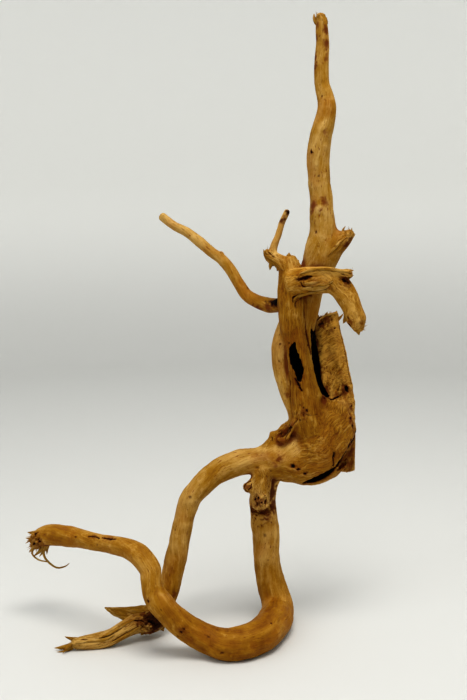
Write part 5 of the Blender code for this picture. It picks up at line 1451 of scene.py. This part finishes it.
# %% The fibres, by Geometry Nodes
def fibre_tree():
    """Nodes: points on the faces, a bent cone on each, leaning along the torn direction."""
    tree = bpy.data.node_groups.new("torn_fibres", "GeometryNodeTree")
    for name, kind in (("Geometry", "NodeSocketGeometry"), ("Amount", "NodeSocketFloat"),
                       ("Length", "NodeSocketFloat"), ("Thickness", "NodeSocketFloat"),
                       ("Seed", "NodeSocketInt"), ("Material", "NodeSocketMaterial")):
        tree.interface.new_socket(name, in_out="INPUT", socket_type=kind)
    tree.interface.new_socket("Geometry", in_out="OUTPUT", socket_type="NodeSocketGeometry")
    add = tree.nodes.new
    link = tree.links.new
    given, result = add("NodeGroupInput"), add("NodeGroupOutput")

    def named(name, kind):
        node = add("GeometryNodeInputNamedAttribute")
        node.data_type = kind
        node.inputs["Name"].default_value = name
        return node.outputs["Attribute"]

    def random(low, high, seed, kind="FLOAT"):
        node = add("FunctionNodeRandomValue")
        node.data_type = kind
        sockets = [s for s in node.inputs if s.enabled]
        sockets[0].default_value = low
        sockets[1].default_value = high
        node.inputs["Seed"].default_value = seed
        return next(s for s in node.outputs if s.enabled)

    def math_of(operation, a, b):
        node = add("ShaderNodeMath")
        node.operation = operation
        for socket, value in zip(node.inputs, (a, b)):
            if isinstance(value, bpy.types.NodeSocket):
                link(value, socket)
            else:
                socket.default_value = value
        return node.outputs[0]

    scatter = add("GeometryNodeDistributePointsOnFaces")
    link(given.outputs["Geometry"], scatter.inputs["Mesh"])
    link(math_of("MULTIPLY", named("many", "FLOAT"), given.outputs["Amount"]), scatter.inputs["Density"])
    link(given.outputs["Seed"], scatter.inputs["Seed"])

    cone = add("GeometryNodeMeshCone")
    cone.inputs["Vertices"].default_value = 5
    cone.inputs["Side Segments"].default_value = 4
    cone.inputs["Radius Top"].default_value = 0.12
    cone.inputs["Radius Bottom"].default_value = 1.0
    cone.inputs["Depth"].default_value = 1.0
    bend = add("GeometryNodeSetPosition")
    parts = add("ShaderNodeSeparateXYZ")
    link(add("GeometryNodeInputPosition").outputs[0], parts.inputs[0])
    offset = add("ShaderNodeCombineXYZ")
    height_squared = math_of("MULTIPLY", parts.outputs["Z"], parts.outputs["Z"])
    link(math_of("MULTIPLY", height_squared, 5.0), offset.inputs["X"])
    offset.inputs["Z"].default_value = -0.2
    link(cone.outputs["Mesh"], bend.inputs["Geometry"])
    link(offset.outputs[0], bend.inputs["Offset"])

    lean = add("ShaderNodeVectorMath")
    lean.operation = "ADD"
    link(named("lean", "FLOAT_VECTOR"), lean.inputs[0])
    link(random((-0.45, -0.45, -0.45), (0.45, 0.45, 0.45), 1, "FLOAT_VECTOR"), lean.inputs[1])
    turned = add("FunctionNodeAlignRotationToVector")
    turned.axis = "Z"
    link(lean.outputs[0], turned.inputs["Vector"])
    spun = add("FunctionNodeRotateRotation")
    spun.rotation_space = "LOCAL"
    spin = add("FunctionNodeAxisAngleToRotation")
    link(random(0.0, 2 * math.pi, 2), spin.inputs["Angle"])
    link(turned.outputs[0], spun.inputs["Rotation"])
    link(spin.outputs[0], spun.inputs["Rotate By"])

    long = math_of("MULTIPLY", math_of("POWER", random(0.35, 1.0, 3), 2.0), named("long", "FLOAT"))
    long = math_of("MULTIPLY", long, given.outputs["Length"])
    wide = math_of("MULTIPLY", random(0.5, 1.5, 4), given.outputs["Thickness"])
    size = add("ShaderNodeCombineXYZ")
    link(wide, size.inputs["X"])
    link(math_of("MULTIPLY", wide, 0.5), size.inputs["Y"])
    link(long, size.inputs["Z"])
    placed = add("GeometryNodeInstanceOnPoints")
    link(scatter.outputs["Points"], placed.inputs["Points"])
    link(bend.outputs["Geometry"], placed.inputs["Instance"])
    link(spun.outputs[0], placed.inputs["Rotation"])
    link(size.outputs[0], placed.inputs["Scale"])
    real = add("GeometryNodeRealizeInstances")
    link(placed.outputs["Instances"], real.inputs["Geometry"])
    coloured = add("GeometryNodeSetMaterial")
    link(real.outputs["Geometry"], coloured.inputs["Geometry"])
    link(given.outputs["Material"], coloured.inputs["Material"])
    link(coloured.outputs["Geometry"], result.inputs["Geometry"])
    return tree


def plain_mesh(obj, name):
    """The evaluated mesh of an object as a new object; the old one goes."""
    graph = bpy.context.evaluated_depsgraph_get()
    evaluated = obj.evaluated_get(graph)
    mesh = bpy.data.meshes.new_from_object(evaluated, preserve_all_data_layers=True, depsgraph=graph)
    made = bpy.data.objects.new(name, mesh)
    mesh.name = name
    bpy.context.scene.collection.objects.link(made)
    bpy.data.objects.remove(obj)
    return made


INPUTS = {"Amount": 1.0, "Length": 1.0, "Thickness": 0.00055, "Seed": 5, "Material": wood}
tree = fibre_tree()
modifier = torn_patch.modifiers.new("torn_fibres", "NODES")
modifier.node_group = tree
for item in tree.interface.items_tree:
    if item.in_out == "INPUT" and item.name in INPUTS:
        modifier[item.identifier] = INPUTS[item.name]
fibres = plain_mesh(torn_patch, "torn_fibres")
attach(fibres, "root")
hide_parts("moor_wood_root")
print("fibres:", len(fibres.data.vertices) // 22, "faces:", len(fibres.data.polygons))
print("fibre points lifted off the floor:", lift_off_floor(fibres.data))

# %% [markdown]
# A plain studio: a pale floor, a pale room of light, one broad soft lamp above and to the right, and a weaker
# one from the left. The camera stands a little above and to the right of the root.

# %% Floor, light and camera
def plain_material(name, colour, roughness):
    material = bpy.data.materials.new(name)
    material.use_nodes = True
    shader = material.node_tree.nodes["Principled BSDF"]
    shader.inputs["Base Color"].default_value = (*colour, 1.0)
    shader.inputs["Roughness"].default_value = roughness
    return material


def round_room(name, profile, sides):
    """A floor that runs up into a wall all round, as one smooth sheet turned about the upright axis."""
    points = [(0.0, 0.0, 0.0)]
    for radius, height in profile:
        for k in range(sides):
            turn = 2 * math.pi * k / sides
            points.append((radius * math.cos(turn), radius * math.sin(turn), height))
    faces = [(0, 1 + k, 1 + (k + 1) % sides) for k in range(sides)]
    for ring in range(len(profile) - 1):
        first, second = 1 + ring * sides, 1 + (ring + 1) * sides
        for k in range(sides):
            after = (k + 1) % sides
            faces.append((first + k, second + k, second + after, first + after))
    mesh = bpy.data.meshes.new(name)
    mesh.from_pydata(points, [], faces)
    mesh.polygons.foreach_set("use_smooth", [True] * len(mesh.polygons))
    obj = bpy.data.objects.new(name, mesh)
    bpy.context.scene.collection.objects.link(obj)
    return obj


WALL_RADIUS, WALL_HEIGHT, BEND = 2.0, 2.4, 0.5  # metres
FLOOR_COLOUR = (0.66, 0.66, 0.64, 1.0)
WALL_COLOUR = (0.90, 0.90, 0.875, 1.0)
profile = [(0.4, 0.0), (0.9, 0.0), (WALL_RADIUS - BEND, 0.0)]
for k in range(1, 13):
    turn = math.pi / 2 * k / 12
    profile.append((WALL_RADIUS - BEND + BEND * math.sin(turn), BEND - BEND * math.cos(turn)))
profile.append((WALL_RADIUS, WALL_HEIGHT))
room = round_room("room", profile, 96)
backdrop = plain_material("pale_backdrop", (0.80, 0.80, 0.78), 0.7)
n = Nodes(backdrop)
place = n.add("ShaderNodeTexCoord").outputs["Object"]
height = n.add("ShaderNodeSeparateXYZ", {"Vector": place}).outputs["Z"]
shade = n.mix(n.fit(height, 0.0, 0.45), FLOOR_COLOUR, WALL_COLOUR)
n.plug(shade, backdrop.node_tree.nodes["Principled BSDF"].inputs["Base Color"])
room.data.materials.append(backdrop)

world = bpy.data.worlds.new("pale_room")
bpy.context.scene.world = world
world.use_nodes = True
world.node_tree.nodes["Background"].inputs["Color"].default_value = (0.95, 0.97, 1.0, 1.0)
world.node_tree.nodes["Background"].inputs["Strength"].default_value = 0.52


def soft_lamp(name, place, aim, size, power, colour=(1.0, 1.0, 1.0)):
    data = bpy.data.lights.new(name, "AREA")
    data.shape = "RECTANGLE"
    data.size, data.size_y = size
    data.energy = power
    data.color = colour
    lamp = bpy.data.objects.new(name, data)
    lamp.location = place
    lamp.rotation_euler = (Vector(aim) - Vector(place)).to_track_quat("-Z", "Y").to_euler()
    bpy.context.scene.collection.objects.link(lamp)
    return lamp


soft_lamp("lamp_above", (0.25, -0.35, 1.55), (0.03, 0.0, 0.2), (0.9, 0.6), 12.0, (1.0, 0.98, 0.94))
soft_lamp("lamp_left", (-1.1, -0.9, 0.9), (0.0, 0.0, 0.25), (0.8, 0.8), 2.5, (0.95, 0.97, 1.0))

CAMERA_PLACE = (0.14364, -0.70362, 0.33826)
PITCH, YAW, ROLL = (math.radians(v) for v in (7.551, 8.059, -0.577))
LENS_MM = 44.66


def camera_turn():
    """Camera axes in the frame: right, up and back, from the fitted pitch, yaw and roll."""
    base = Matrix(((1, 0, 0), (0, 0, -1), (0, 1, 0)))
    yaw = Matrix(((math.cos(YAW), 0, math.sin(YAW)), (0, 1, 0), (-math.sin(YAW), 0, math.cos(YAW))))
    pitch = Matrix(((1, 0, 0), (0, math.cos(PITCH), -math.sin(PITCH)),
    (0, math.sin(PITCH), math.cos(PITCH))))
    roll = Matrix(((math.cos(ROLL), -math.sin(ROLL), 0), (math.sin(ROLL), math.cos(ROLL), 0), (0, 0, 1)))
    rows = roll @ pitch @ yaw @ base
    return Matrix((rows[0], -rows[1], -rows[2])).transposed()


camera = bpy.data.objects.new("camera", bpy.data.cameras.new("camera"))
camera.data.lens = LENS_MM
camera.data.sensor_width = 36.0
camera.location = CAMERA_PLACE
camera.rotation_euler = camera_turn().to_euler()
bpy.context.scene.collection.objects.link(camera)
bpy.context.scene.camera = camera
bpy.context.scene.view_settings.view_transform = "Standard"
bpy.context.scene.view_settings.look = "High Contrast"
print("camera looks along", [round(v, 4) for v in camera_turn() @ Vector((0, 0, -1))])
